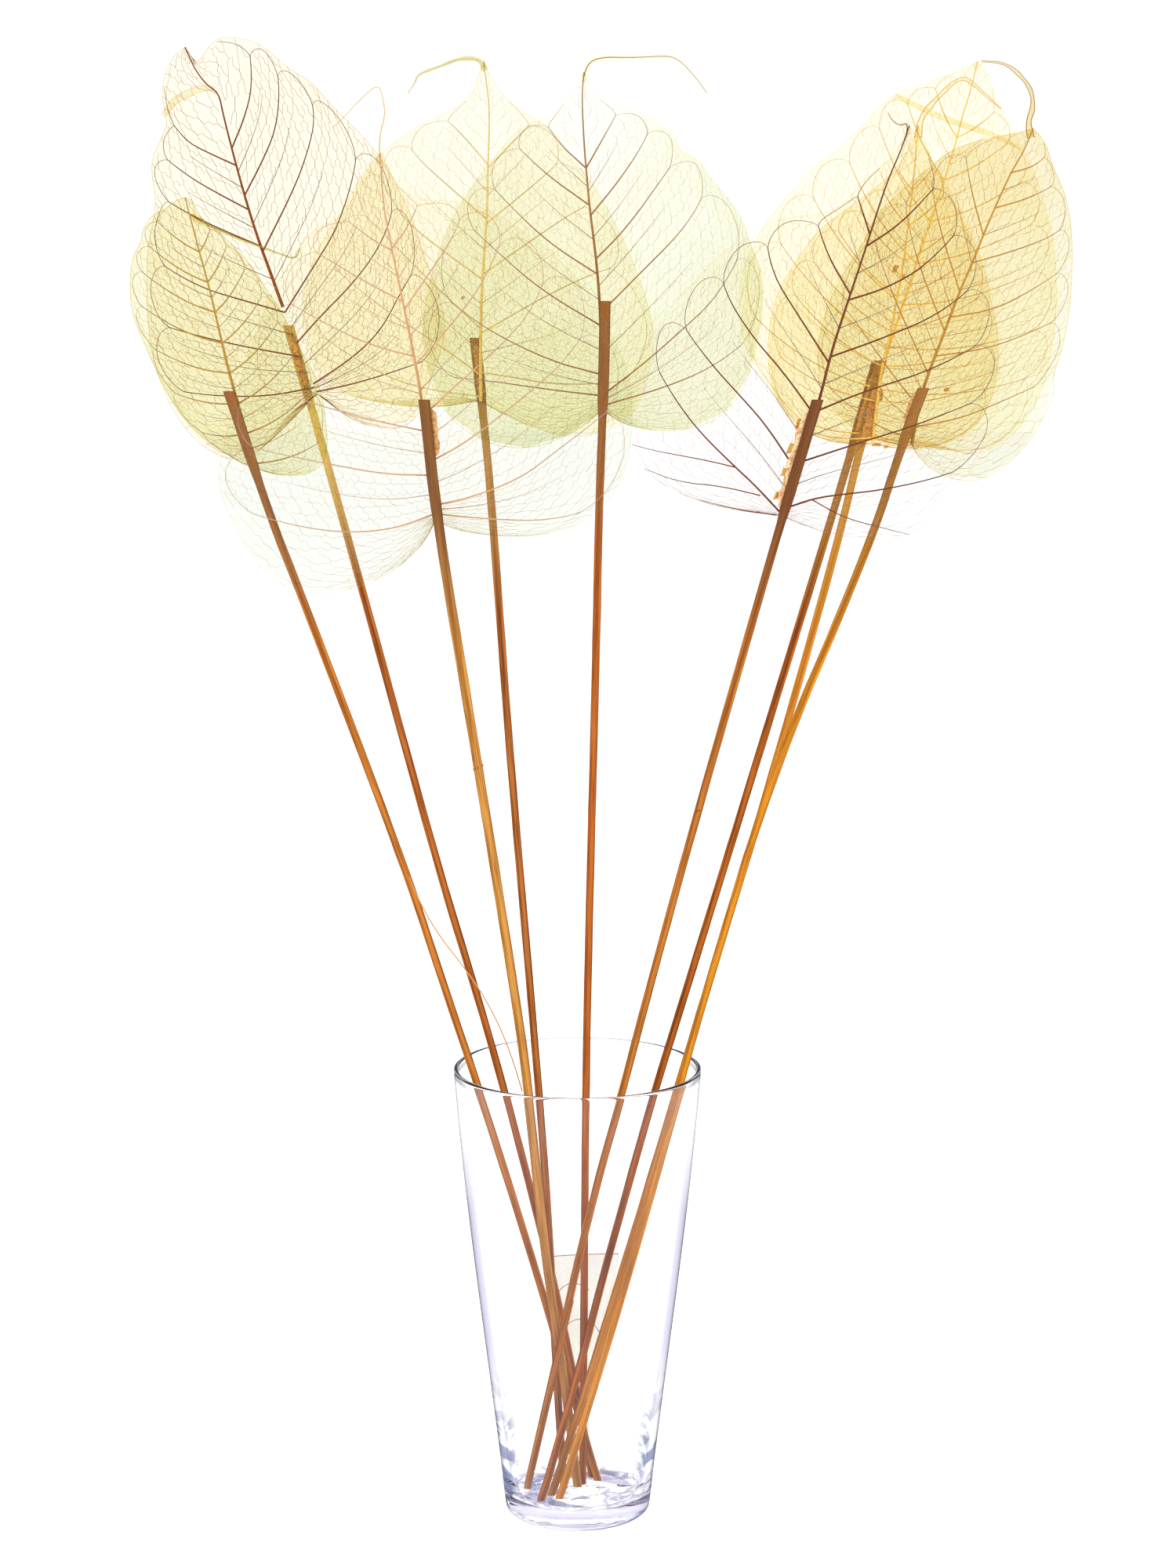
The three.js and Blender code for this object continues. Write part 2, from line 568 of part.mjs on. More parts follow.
export default arrangement;
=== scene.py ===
# Nine skeleton leaves on split sticks in a clear glass vase: the looks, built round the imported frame.
import bisect
import functools
import math
import random

import bmesh
import bpy
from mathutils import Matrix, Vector, noise


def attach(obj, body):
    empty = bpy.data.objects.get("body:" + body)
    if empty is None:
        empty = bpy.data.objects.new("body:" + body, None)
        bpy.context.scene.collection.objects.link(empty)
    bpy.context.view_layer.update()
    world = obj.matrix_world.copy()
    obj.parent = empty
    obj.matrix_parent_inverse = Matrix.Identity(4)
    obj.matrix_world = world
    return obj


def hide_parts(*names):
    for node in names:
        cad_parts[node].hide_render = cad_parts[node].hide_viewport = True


# Meshes are worked out in millimetres and brought to metres when they are finished.
MM = 0.001

# The photograph's eye point: it turns a point of the 1500 x 2000 frame and a depth into a place.
FRAME_SIZE = (1500, 2000)
EYE = Vector((4.57, -1520.0, 594.0))
EYE_PITCH = 0.17576
FOCAL_PIXELS = 4621
SENSOR_LONG_SIDE = 36
MM_PER_PIXEL = 0.335

# Vase, in mm: the outer radii climb from foot to rim, and the inside follows them a wall further in.
VASE_HEIGHT = 200
RIM_RADIUS = 53.5
FOOT_RADIUS = 32
FOOT_ROUNDING = 3.4
INNER_FOOT_RADIUS = 29.8
INNER_ROUNDING = 5
WALL_AT_RIM = 2.1
WALL_AT_FOOT = 3
LIP_HEIGHT = 199
FLOOR_THICKNESS = 9
RIPPLE_HEIGHT = 0.45
VASE_SIDE_RADII = [(7, 32.3), (23, 33.9), (64, 38.9), (116, 45.4), (160, 50.2)]
VASE_TURN_STEPS = 192

# Sticks and the seat of a leaf on its stick, in mm
STICK_WIDTH = 3.4
STICK_DEPTH = 2.8
GLUED_WIDTH = 4.6
SEAT_GAP = 0.3
GLUE_THICKNESS = 0.7
MIDRIB_RIDGE = 0.6
BLADE_THICKNESS = 0.8
FLAT_ZONE = 8
STICK_STATIONS = 70
# How far in front of its stick a sliver's middle lies, at its top and at its foot
SLIVER_GAPS = (3.2, 1.9)

# Leaf skeleton, in mm: how far the blade waves, net struts, cells, films and the radii of veins
WAVE_HEIGHT = 1.8
CRINKLE_HEIGHT = 0.7
STRUT_WIDTH = 0.2
NET_THICKNESS = 0.24
FILM_THICKNESS = 0.1
CELL_LENGTH = 3.35
CELL_HEIGHT = 2.75
FINE_CELL = 1.1
SMALLEST_CELL_AREA = 0.4
CLOSEST_CORNERS = 0.7
HEX_LEAN = 0.17
JITTER = 0.24
MIDRIB_RADII = (0.72, 0.22)
SIDE_VEIN_RADII = (0.34, 0.17)
BRANCH_RADII = (0.27, 0.13)
BETWEEN_RADII = (0.18, 0.11)
ARCH_RADII = (0.17, 0.14)
CROSS_VEIN_RADII = (0.13, 0.13)
MARGIN_RADII = (0.19, 0.19)
TAIL_HALF_WIDTHS = (1.25, 0.45)
TAIL_EDGE_RADII = (0.24, 0.1518)
# How far the veins of a drawn-out tip have thinned out at their two ends
TAIL_TONES = (0.45, 0.744)
# The map's first value on film and net: above 1 the dye lies denser, up to four times at 2.
ONE_LAYER, MARGIN_LAYERS, FOLD_LAYERS, SCRAP_LAYERS = 0.5, 1.5, 1.35, 1.1
# A cross vein's polygon is this many columns of the net long and this many rows high.
CROSS_COLUMNS = 4
CROSS_ROWS = 2
CROSS_VEIN_LEAST_PIXELS = 4
MARGIN_STEPS = 110
# The share of its way to the margin at which a side vein bends up into its arch
BEND = 0.86
# Side veins by rule: their lean off the midrib in degrees, lowest and highest, and how far they bow
RULED_LEANS = (88, 38)
RULED_BOW = 0.32

# Each stick from its top to its foot, in pixels of the photograph's frame, with the depth in mm of
# its top and foot behind the vase's axis (negative is nearer the eye). wide is a share of the plain
# width, scar the row of a leaf scar and sliver the line of a sliver that has split off.
STICKS = [
    {"line": [(292, 499), (345, 660), (383, 755), (513, 1095), (574, 1280), (615, 1400), (684, 1620),
              (763, 1888)], "top": -48, "foot": 8},
    {"line": [(368, 415), (418, 593), (500, 890), (560, 1110), (612, 1280), (646, 1400), (689, 1565),
              (722, 1704), (757, 1888)], "top": 28, "foot": 12},
    {"line": [(541, 510), (557, 662), (610, 978), (659, 1280), (674, 1390), (698, 1620), (715, 1721),
              (737, 1894)], "top": -101, "foot": 0.2, "wide": 1.2, "scar": 978},
    {"line": [(606, 431), (620, 565), (630, 680), (650, 960), (678, 1280), (688, 1400), (700, 1555),
              (710, 1757), (720, 1906)], "top": -22, "foot": -1.2},
    {"line": [(772, 384), (769, 523), (764, 647), (760, 850), (752, 1150), (747, 1395), (745, 1673),
              (743, 1900)], "top": -58, "foot": 3.9},
    {"line": [(1043, 510), (998, 660), (890, 1035), (823, 1280), (794, 1392), (767, 1487), (734, 1620),
              (708, 1745), (674, 1891)],
     "top": -95.6, "foot": -5.3, "scar": 1035,
     "sliver": [(731, 1658), (722, 1690), (711, 1730), (700, 1775), (690, 1815)]},
    {"line": [(1119, 460), (1093, 551), (1049, 700), (870, 1280), (834, 1395), (771, 1620), (739, 1745),
              (692, 1911)], "top": 34, "foot": -17.8},
    {"line": [(1124, 460), (1102, 551), (1067, 700), (979, 1010), (896, 1280), (862, 1395), (794, 1620),
              (703, 1910)], "top": 4, "foot": -12.1},
    {"line": [(1178, 495), (1152, 563), (1108, 700), (985, 985), (893, 1290), (864, 1395), (803, 1620),
              (715, 1908)], "top": -28, "foot": -16},
]

# Each leaf in the same pixels: midrib and margins from base to tip, then its side veins from the
# midrib outwards, lowest first. It is glued behind (+1) or in front (-1) of its stick. turn is how
# much deeper it lies per mm to the right, cup how far its sides and curl how far its tip bend away.
# strong is how much stouter its side veins are, and seated the share of its midrib that lies flat
# on the stick. tail is its drawn-out tip: how dense it lies, the shares of its width at which veins
# run along it, and how far those have thinned out. fold is a crease where the blade lies double.
LEAVES = [{
    "side": 1, "turn": -0.1, "cup": 3, "curl": 4,
    "midrib": [(329, 598), (312, 545), (296, 489), (286, 450), (268, 371), (255, 324), (236, 252)],
    "left": [(310, 592), (290, 580), (260, 560), (235, 535), (215, 505), (200, 475), (185, 440), (170, 405),
             (166, 380), (166, 350), (170, 325), (180, 310), (182, 292), (192, 276), (212, 266),
             (225, 255)],
    "right": [(345, 604), (370, 607), (395, 604), (412, 592), (418, 572), (416, 540), (411, 505),
              (401, 476), (385, 450), (368, 415), (352, 386), (337, 366), (318, 335), (296, 312),
              (270, 288), (252, 274), (246, 254)],
    "tail": [(243, 275), (262, 286), (296, 301), (330, 314), (360, 325), (377, 331), (383, 316)],
    "tail_layers": 1.5,
}, {
    "side": -1, "turn": -0.1, "cup": 4, "curl": 8, "strong": 1.1, "seated": 0.25,
    "midrib": [(405, 503), (385, 455), (363, 398), (344, 345), (332, 313), (317, 267), (301, 210),
               (285, 148), (279, 118), (264, 109), (248, 88), (236, 60)],
    "left": [(375, 522), (350, 552), (330, 578), (300, 588), (272, 578), (248, 560), (228, 535), (210, 503),
             (196, 460), (188, 410), (187, 360), (189, 310), (196, 280), (199, 255), (194, 225), (193, 205),
             (203, 182), (214, 160), (210, 143), (206, 120), (210, 95), (220, 72)],
    "right": [(416, 508), (434, 526), (455, 538), (485, 546), (512, 547), (535, 530), (547, 490),
              (560, 455), (568, 425), (565, 392), (552, 355), (540, 325), (525, 275), (510, 245),
              (495, 215), (477, 190), (453, 163), (424, 136), (395, 102), (368, 88), (339, 61), (318, 50),
              (278, 46), (262, 65), (252, 84)],
    "veins_left": [
        [(400, 495), (340, 506), (270, 505), (216, 492)],
        [(385, 455), (300, 440), (240, 425), (192, 410)],
        [(365, 398), (310, 383), (265, 370), (225, 350), (192, 325)],
        [(335, 313), (290, 296), (255, 280), (222, 262), (199, 245)],
        [(318, 268), (280, 248), (240, 225), (205, 195)],
        [(301, 211), (268, 196), (240, 182), (222, 160), (216, 150)],
    ],
    "veins_right": [
        [(404, 500), (450, 490), (500, 475), (549, 450)],
        [(400, 490), (452, 455), (487, 420), (510, 375), (528, 345), (536, 325)],
        [(379, 438), (410, 402), (447, 365), (478, 325), (497, 285), (503, 240)],
        [(365, 398), (400, 340), (425, 300), (440, 262), (452, 220), (452, 175)],
        [(338, 320), (378, 235), (395, 185), (402, 150), (390, 105)],
        [(315, 248), (335, 205), (352, 165), (357, 115), (350, 72)],
        [(295, 190), (312, 150), (322, 110), (315, 60)],
    ],
    "fold": {"line": [(208, 148), (222, 128), (240, 119), (258, 112), (275, 113)], "width": 9},
}, {
    "side": 1, "turn": -0.08, "cup": 5, "curl": 6,
    "midrib": [(555, 660), (548, 600), (538, 508), (526, 443), (513, 381), (498, 310), (488, 256),
               (485, 195)],
    "left": [(551, 676), (533, 702), (505, 727), (470, 745), (434, 756), (398, 757), (368, 750), (342, 735),
             (316, 702), (296, 664), (282, 633), (278, 608), (284, 575), (296, 525), (312, 470), (330, 415),
             (348, 370), (372, 332), (392, 300), (412, 285), (435, 279), (450, 255), (462, 228),
             (478, 205)],
    "right": [(570, 672), (600, 680), (640, 684), (690, 684), (735, 672), (770, 648), (792, 615),
              (803, 580), (807, 530), (804, 478), (776, 417), (740, 357), (694, 314), (645, 280),
              (620, 266), (587, 257), (540, 255), (515, 246), (500, 225), (491, 205)],
    "tail": [(485, 208), (484, 175), (492, 146), (489, 127), (483, 105), (455, 131), (440, 148),
             (424, 163)],
    "tail_layers": 1.2, "tail_tones": (0.8, 0.898),
    "veins_left": [
        [(553, 655), (500, 676), (430, 680), (350, 665), (292, 640)],
        [(555, 605), (490, 605), (420, 592), (340, 576), (288, 560)],
        [(540, 550), (470, 535), (400, 515), (340, 495), (305, 480)],
        [(527, 455), (470, 440), (400, 405), (345, 372)],
        [(513, 385), (470, 362), (425, 335), (382, 310)],
        [(500, 320), (470, 303), (440, 282)],
    ],
    "veins_right": [
        [(555, 655), (620, 662), (700, 665), (768, 645)],
        [(556, 645), (600, 635), (665, 610), (710, 575), (750, 545), (795, 500)],
        [(550, 590), (585, 570), (620, 545), (670, 505), (720, 462), (760, 400)],
        [(545, 530), (600, 475), (640, 440), (680, 395), (705, 325)],
        [(532, 465), (580, 410), (620, 355), (648, 285)],
        [(517, 395), (550, 345), (580, 300), (592, 260)],
        [(500, 318), (520, 290), (535, 258)],
    ],
}, {
    "side": -1, "turn": -0.05, "cup": 3, "curl": 5,
    "midrib": [(613, 512), (613, 418), (615, 357), (621, 280), (622, 219), (624, 167), (624, 133),
               (619, 96), (617, 78)],
    "left": [(580, 505), (545, 508), (510, 512), (475, 511), (445, 505), (418, 492), (400, 468), (388, 430),
             (385, 390), (392, 350), (408, 312), (430, 278), (452, 240), (472, 208), (492, 190), (514, 173),
             (541, 156), (572, 142), (593, 130), (605, 118), (608, 100)],
    "right": [(645, 530), (690, 550), (730, 558), (770, 552), (800, 538), (815, 515), (827, 478),
              (834, 445), (833, 410), (814, 351), (798, 311), (774, 265), (749, 222), (725, 200),
              (712, 173), (688, 154), (671, 145), (654, 133), (639, 118), (628, 100)],
    "tail": [(619, 90), (612, 75), (587, 74), (560, 85), (532, 95), (530, 105), (520, 119)],
    "tail_layers": 2.0,
    "veins_left": [
        [(612, 505), (550, 498), (500, 484), (440, 450), (390, 410)],
        [(611, 478), (560, 440), (490, 395), (435, 350), (405, 318)],
        [(613, 420), (555, 365), (500, 310), (460, 268), (443, 253)],
        [(615, 357), (565, 320), (520, 285), (490, 240), (480, 202)],
        [(620, 280), (575, 240), (530, 200), (516, 172)],
        [(622, 210), (590, 172), (562, 147)],
    ],
    "veins_right": [
        [(613, 475), (660, 482), (700, 490), (770, 490), (825, 480)],
        [(614, 425), (700, 375), (765, 345), (808, 335)],
        [(616, 350), (680, 305), (735, 268), (768, 255)],
        [(620, 285), (670, 245), (705, 215), (722, 195)],
        [(623, 215), (655, 180), (684, 152)],
    ],
}, {
    "side": 1, "turn": 0, "cup": 4, "curl": 6,
    "midrib": [(768, 522), (767, 450), (765, 384), (760, 326), (752, 265), (748, 219), (745, 185),
               (742, 121), (745, 92)],
    "left": [(747, 543), (713, 560), (686, 570), (655, 572), (625, 566), (599, 553), (574, 533), (556, 505),
             (545, 470), (539, 430), (541, 390), (552, 345), (566, 302), (581, 271), (602, 237), (627, 204),
             (651, 176), (672, 158), (697, 152), (715, 138), (730, 113)],
    "right": [(785, 535), (807, 545), (840, 550), (883, 548), (919, 533), (944, 505), (961, 464),
              (972, 400), (974, 350), (957, 312), (948, 280), (924, 246), (904, 226), (897, 210),
              (881, 197), (866, 194), (862, 176), (850, 163), (830, 150), (800, 139), (768, 129),
              (755, 116)],
    "tail": [(744, 104), (749, 82), (765, 73), (811, 74), (853, 71), (868, 78), (884, 95), (902, 119)],
    "tail_layers": 1.9,
    "veins_left": [
        [(768, 505), (700, 497), (620, 485), (550, 478)],
        [(767, 478), (700, 460), (620, 420), (575, 385), (545, 365)],
        [(765, 415), (690, 370), (635, 322), (590, 280), (582, 270)],
        [(762, 350), (700, 310), (650, 262), (625, 235), (614, 222)],
        [(751, 262), (700, 225), (668, 195), (650, 178)],
        [(747, 215), (715, 185), (693, 153)],
    ],
    "veins_right": [
        [(768, 518), (849, 494), (908, 469), (958, 431), (968, 418)],
        [(768, 505), (820, 465), (871, 420), (911, 383), (944, 327), (952, 295)],
        [(766, 400), (820, 345), (870, 295), (898, 250), (902, 222)],
        [(761, 330), (800, 290), (850, 220), (868, 195)],
        [(753, 275), (790, 230), (820, 185), (833, 152)],
        [(748, 215), (770, 175), (792, 137)],
    ],
}, {
    "side": 1, "turn": 0.08, "cup": 5, "curl": 6, "strong": 1.15,
    "midrib": [(996, 658), (1020, 590), (1045, 512), (1060, 450), (1083, 380), (1100, 330), (1130, 235),
               (1150, 190), (1160, 160)],
    "left": [(968, 652), (929, 646), (886, 637), (847, 620), (821, 601), (804, 577), (801, 540), (808, 490),
             (824, 442), (841, 412), (857, 391), (883, 361), (922, 321), (952, 304), (985, 282),
             (1030, 274), (1063, 270), (1085, 252), (1100, 230), (1125, 212), (1143, 195)],
    "right": [(1020, 668), (1070, 685), (1120, 690), (1165, 682), (1200, 660), (1232, 622), (1258, 575),
              (1272, 520), (1276, 465), (1272, 410), (1258, 345), (1236, 285), (1208, 235), (1190, 208),
              (1178, 185)],
    "tail": [(1157, 172), (1158, 156), (1148, 160), (1138, 154), (1133, 144)],
    "tail_layers": 1.3,
    "veins_left": [
        [(992, 654), (964, 620), (938, 596), (894, 553), (864, 514), (835, 465), (828, 438)],
        [(1014, 600), (977, 542), (946, 507), (910, 468), (872, 418), (862, 388)],
        [(1037, 530), (998, 473), (959, 429), (925, 375), (915, 328)],
        [(1056, 462), (1020, 405), (985, 350), (975, 290)],
        [(1085, 375), (1055, 325), (1040, 273)],
        [(1110, 300), (1095, 245)],
    ],
    "veins_right": [
        [(1000, 650), (1040, 635), (1080, 630), (1125, 625), (1195, 610), (1250, 588)],
        [(1022, 590), (1065, 575), (1105, 562), (1160, 545), (1200, 530), (1270, 500)],
        [(1040, 525), (1100, 500), (1180, 475), (1240, 445), (1273, 420)],
        [(1059, 455), (1130, 430), (1200, 400), (1258, 350)],
        [(1082, 383), (1130, 368), (1180, 340), (1233, 282)],
        [(1105, 315), (1150, 285), (1203, 228)],
    ],
    "branches": [
        [(938, 596), (905, 588), (868, 581), (835, 575), (806, 567)],
        [(970, 632), (920, 620), (866, 615), (822, 598)],
        [(1035, 637), (1075, 660), (1120, 672), (1160, 682)],
        [(990, 657), (940, 650), (890, 637)],
    ],
}, {
    "side": -1, "turn": 0.08, "cup": 4, "curl": 6,
    "midrib": [(1108, 562), (1125, 470), (1138, 430), (1155, 380), (1170, 332), (1186, 285), (1203, 235),
               (1217, 190), (1227, 150), (1238, 116), (1247, 78)],
    "left": [(1085, 566), (1050, 562), (1020, 545), (1000, 520), (980, 490), (960, 462), (948, 435),
             (942, 395), (946, 350), (957, 318), (968, 298), (984, 276), (1003, 251), (1027, 224),
             (1052, 202), (1079, 181), (1104, 156), (1125, 132), (1141, 120), (1171, 112), (1200, 98),
             (1226, 90)],
    "right": [(1150, 560), (1185, 562), (1215, 575), (1250, 580), (1285, 562), (1312, 532), (1332, 490),
              (1343, 440), (1348, 385), (1346, 320), (1335, 270), (1322, 225), (1305, 190), (1290, 160),
              (1275, 140), (1267, 118), (1262, 92)],
    "fold": {"line": [(1142, 121), (1180, 141), (1223, 158), (1269, 172), (1302, 190)], "width": 7},
}, {
    "side": -1, "turn": 0.08, "cup": 3, "curl": 5,
    "midrib": [(1113, 566), (1124, 470), (1135, 430), (1143, 386), (1153, 334), (1159, 279), (1165, 233),
               (1171, 160)],
    "left": [(1090, 567), (1055, 562), (1020, 549), (1000, 528), (985, 495), (978, 455), (982, 410),
             (993, 368), (1012, 338), (1034, 306), (1052, 287), (1076, 270), (1106, 248), (1133, 226),
             (1152, 203), (1163, 182)],
    "right": [(1145, 572), (1185, 572), (1222, 561), (1250, 540), (1268, 502), (1274, 460), (1272, 420),
              (1264, 385), (1256, 345), (1242, 308), (1222, 268), (1203, 230), (1189, 206), (1180, 182)],
    "tail": [(1171, 176), (1174, 150), (1195, 125), (1226, 96), (1245, 110), (1262, 126), (1277, 139)],
    "tail_layers": 1.15, "tail_lines": (0.0, 1.0),
}, {
    "side": 1, "turn": 0.08, "cup": 4, "curl": 5,
    "midrib": [(1163, 567), (1175, 500), (1205, 423), (1223, 374), (1241, 334), (1254, 300), (1287, 224),
               (1306, 193), (1318, 164)],
    "left": [(1135, 566), (1098, 553), (1068, 530), (1050, 500), (1042, 465), (1045, 428), (1056, 388),
             (1079, 342), (1104, 307), (1116, 275), (1136, 256), (1165, 230), (1189, 211), (1211, 193),
             (1241, 181), (1269, 175), (1296, 170)],
    "right": [(1172, 585), (1192, 602), (1215, 612), (1249, 614), (1272, 601), (1295, 583), (1313, 563),
              (1331, 533), (1345, 504), (1342, 481), (1355, 445), (1362, 410), (1367, 371), (1368, 300),
              (1361, 254), (1350, 228), (1342, 210), (1333, 180)],
    "tail": [(1315, 176), (1311, 155), (1318, 138), (1316, 115), (1300, 94), (1281, 80), (1252, 78)],
    "tail_layers": 1.1, "tail_lines": (0.0, 1.0),
    "veins_left": [
        [(1164, 560), (1120, 545), (1080, 515), (1046, 485)],
        [(1172, 520), (1125, 460), (1085, 400), (1062, 378)],
        [(1185, 478), (1140, 380), (1112, 300), (1116, 278)],
        [(1205, 423), (1165, 320), (1152, 243)],
        [(1223, 372), (1195, 280), (1186, 213)],
        [(1254, 300), (1238, 240), (1230, 186)],
    ],
    "veins_right": [
        [(1167, 545), (1220, 535), (1260, 520), (1340, 482)],
        [(1195, 455), (1260, 445), (1320, 422), (1358, 400)],
        [(1212, 405), (1270, 395), (1325, 365), (1366, 335)],
        [(1240, 335), (1300, 318), (1345, 300), (1366, 280)],
        [(1268, 265), (1310, 254), (1352, 232)],
        [(1290, 220), (1318, 213), (1338, 196)],
    ],
}]

# Loose bits of leaf in the glue: middle in pixels, size in mm, and the stick whose seat they lie
# on, counted from 0. Those closer to their stick than the reach lie on it.
FLAKE_REACH_PIXELS = 40
FLAKE_THICKNESS = 0.15
FLAKES = [
    {"stick": 5, "at": (1018, 540), "size": (1.6, 4.5)},
    {"stick": 5, "at": (1008, 572), "size": (2.4, 5.0)},
    {"stick": 5, "at": (1000, 602), "size": (2.0, 4.0)},
    {"stick": 5, "at": (990, 632), "size": (1.6, 4.0)},
    {"stick": 7, "at": (1118, 567), "size": (4.5, 1.8)},
    {"stick": 7, "at": (1130, 570), "size": (2.2, 1.4)},
    {"stick": 8, "at": (1207, 497), "size": (2.6, 1.8)},
    {"stick": 7, "at": (1142, 343), "size": (2.6, 3.6)},
    {"stick": 7, "at": (1152, 352), "size": (1.8, 2.2)},
    {"stick": 3, "at": (590, 380), "size": (1.6, 1.6)},
]

# The scrap of leaf skeleton behind the sticks, in pixels, with the depth of its point and its top
SCRAP_THICKNESS = 0.2
SCRAP_VEIN_RADII = (0.17, 0.17)
SCRAP = {
    "left": [(744, 1880), (733, 1745), (716, 1690), (706, 1640), (705, 1600)],
    "right": [(752, 1880), (752, 1745), (768, 1690), (784, 1640), (791, 1597)],
    "foot": 17, "top": 30,
    "arcs": [[(708, 1652), (722, 1636), (740, 1637), (752, 1645)],
             [(716, 1695), (735, 1680), (756, 1685), (766, 1700)],
             [(706, 1602), (735, 1600), (765, 1599), (790, 1599)]],
}

# The fibre from the first stick down into the vase: pixels and depths
FIBRE = [(513, 1095, -22), (530, 1140, -26), (556, 1188, -29), (585, 1225, -31), (612, 1262, -33),
         (632, 1298, -35), (648, 1335, -36), (659, 1368, -36.5), (666, 1392, -36.5)]
FIBRE_RADII = (0.28, 0.28)


def lerp(a, b, share):
    return a + (b - a) * share


def place(x, y, depth):
    """The place in mm of a point of the photograph's frame at a depth behind the vase's axis."""
    across = (x - FRAME_SIZE[0] / 2) / FOCAL_PIXELS
    down = (y - FRAME_SIZE[1] / 2) / FOCAL_PIXELS
    ahead = math.cos(EYE_PITCH) - down * math.sin(EYE_PITCH)
    rise = -math.sin(EYE_PITCH) - down * math.cos(EYE_PITCH)
    reach = (depth - EYE.y) / ahead
    return Vector((EYE.x + reach * across, depth, EYE.z + reach * rise))


class Line:
    """A line through points of the frame, with its corners cut round, read by share of length."""

    def __init__(self, points, rounds=2):
        points = [Vector(p) for p in points]
        for _ in range(rounds):
            cut = [points[0]]
            for a, b in zip(points, points[1:]):
                cut += [lerp(a, b, 0.25), lerp(a, b, 0.75)]
            points = cut + [points[-1]]
        self.points = points
        self.stops = [0.0]
        for a, b in zip(points, points[1:]):
            self.stops.append(self.stops[-1] + (b - a).length)
        self.length = self.stops[-1]

    def at(self, share):
        reach = min(max(share, 0.0), 1.0) * self.length
        i = min(bisect.bisect_right(self.stops, reach), len(self.stops) - 1)
        span = self.stops[i] - self.stops[i - 1]
        return lerp(self.points[i - 1], self.points[i], (reach - self.stops[i - 1]) / max(span, 1e-9))

    def stations(self, steps, start=0.0, end=1.0):
        return [self.at(lerp(start, end, k / steps)) for k in range(steps + 1)]

    def share_near(self, spot, steps=400):
        return min((k / steps for k in range(steps + 1)), key=lambda s: (self.at(s) - spot).length)


def column_at(points, row):
    """The frame column of a chain of points at a frame row, for a chain that runs up or down."""
    rising = points if points[0][1] < points[-1][1] else points[::-1]
    i = 0
    while i < len(rising) - 2 and row > rising[i + 1][1]:
        i += 1
    (ax, ay), (bx, by) = rising[i], rising[i + 1]
    return lerp(ax, bx, min(max((row - ay) / (by - ay), 0.0), 1.0))


def stick_depth(stick, row):
    top, foot = stick["line"][0][1], stick["line"][-1][1]
    return lerp(stick["top"], stick["foot"], (row - top) / (foot - top))


class Half:
    """One side of a blade. v runs from base to tip, a whole number on each side vein, and t from
    the midrib to the margin, so that lines of equal v follow the side veins."""

    def __init__(self, midrib, margin, veins):
        self.midrib, self.margin = midrib, margin
        self.knots = [(0.0, 0.0, None)]
        for vein in veins:
            start = midrib.share_near(Vector(vein[0]))
            end = margin.share_near(Vector(vein[-1]))
            inner = [Vector(p) for p in vein[1:-1]]
            self.knots.append((start, end, Line([midrib.at(start)] + inner + [margin.at(end)])))
        self.knots.append((1.0, 1.0, None))
        self.panels = len(self.knots) - 1

    def bulge(self, knot, t):
        start, end, line = knot
        if line is None:
            return Vector((0.0, 0.0))
        return line.at(t) - lerp(self.midrib.at(start), self.margin.at(end), t)

    def point(self, v, t):
        k = min(int(v), self.panels - 1)
        low, high, w = self.knots[k], self.knots[k + 1], v - k
        start = self.midrib.at(lerp(low[0], high[0], w))
        end = self.margin.at(lerp(low[1], high[1], w))
        return lerp(start, end, t) + lerp(self.bulge(low, t), self.bulge(high, t), w)


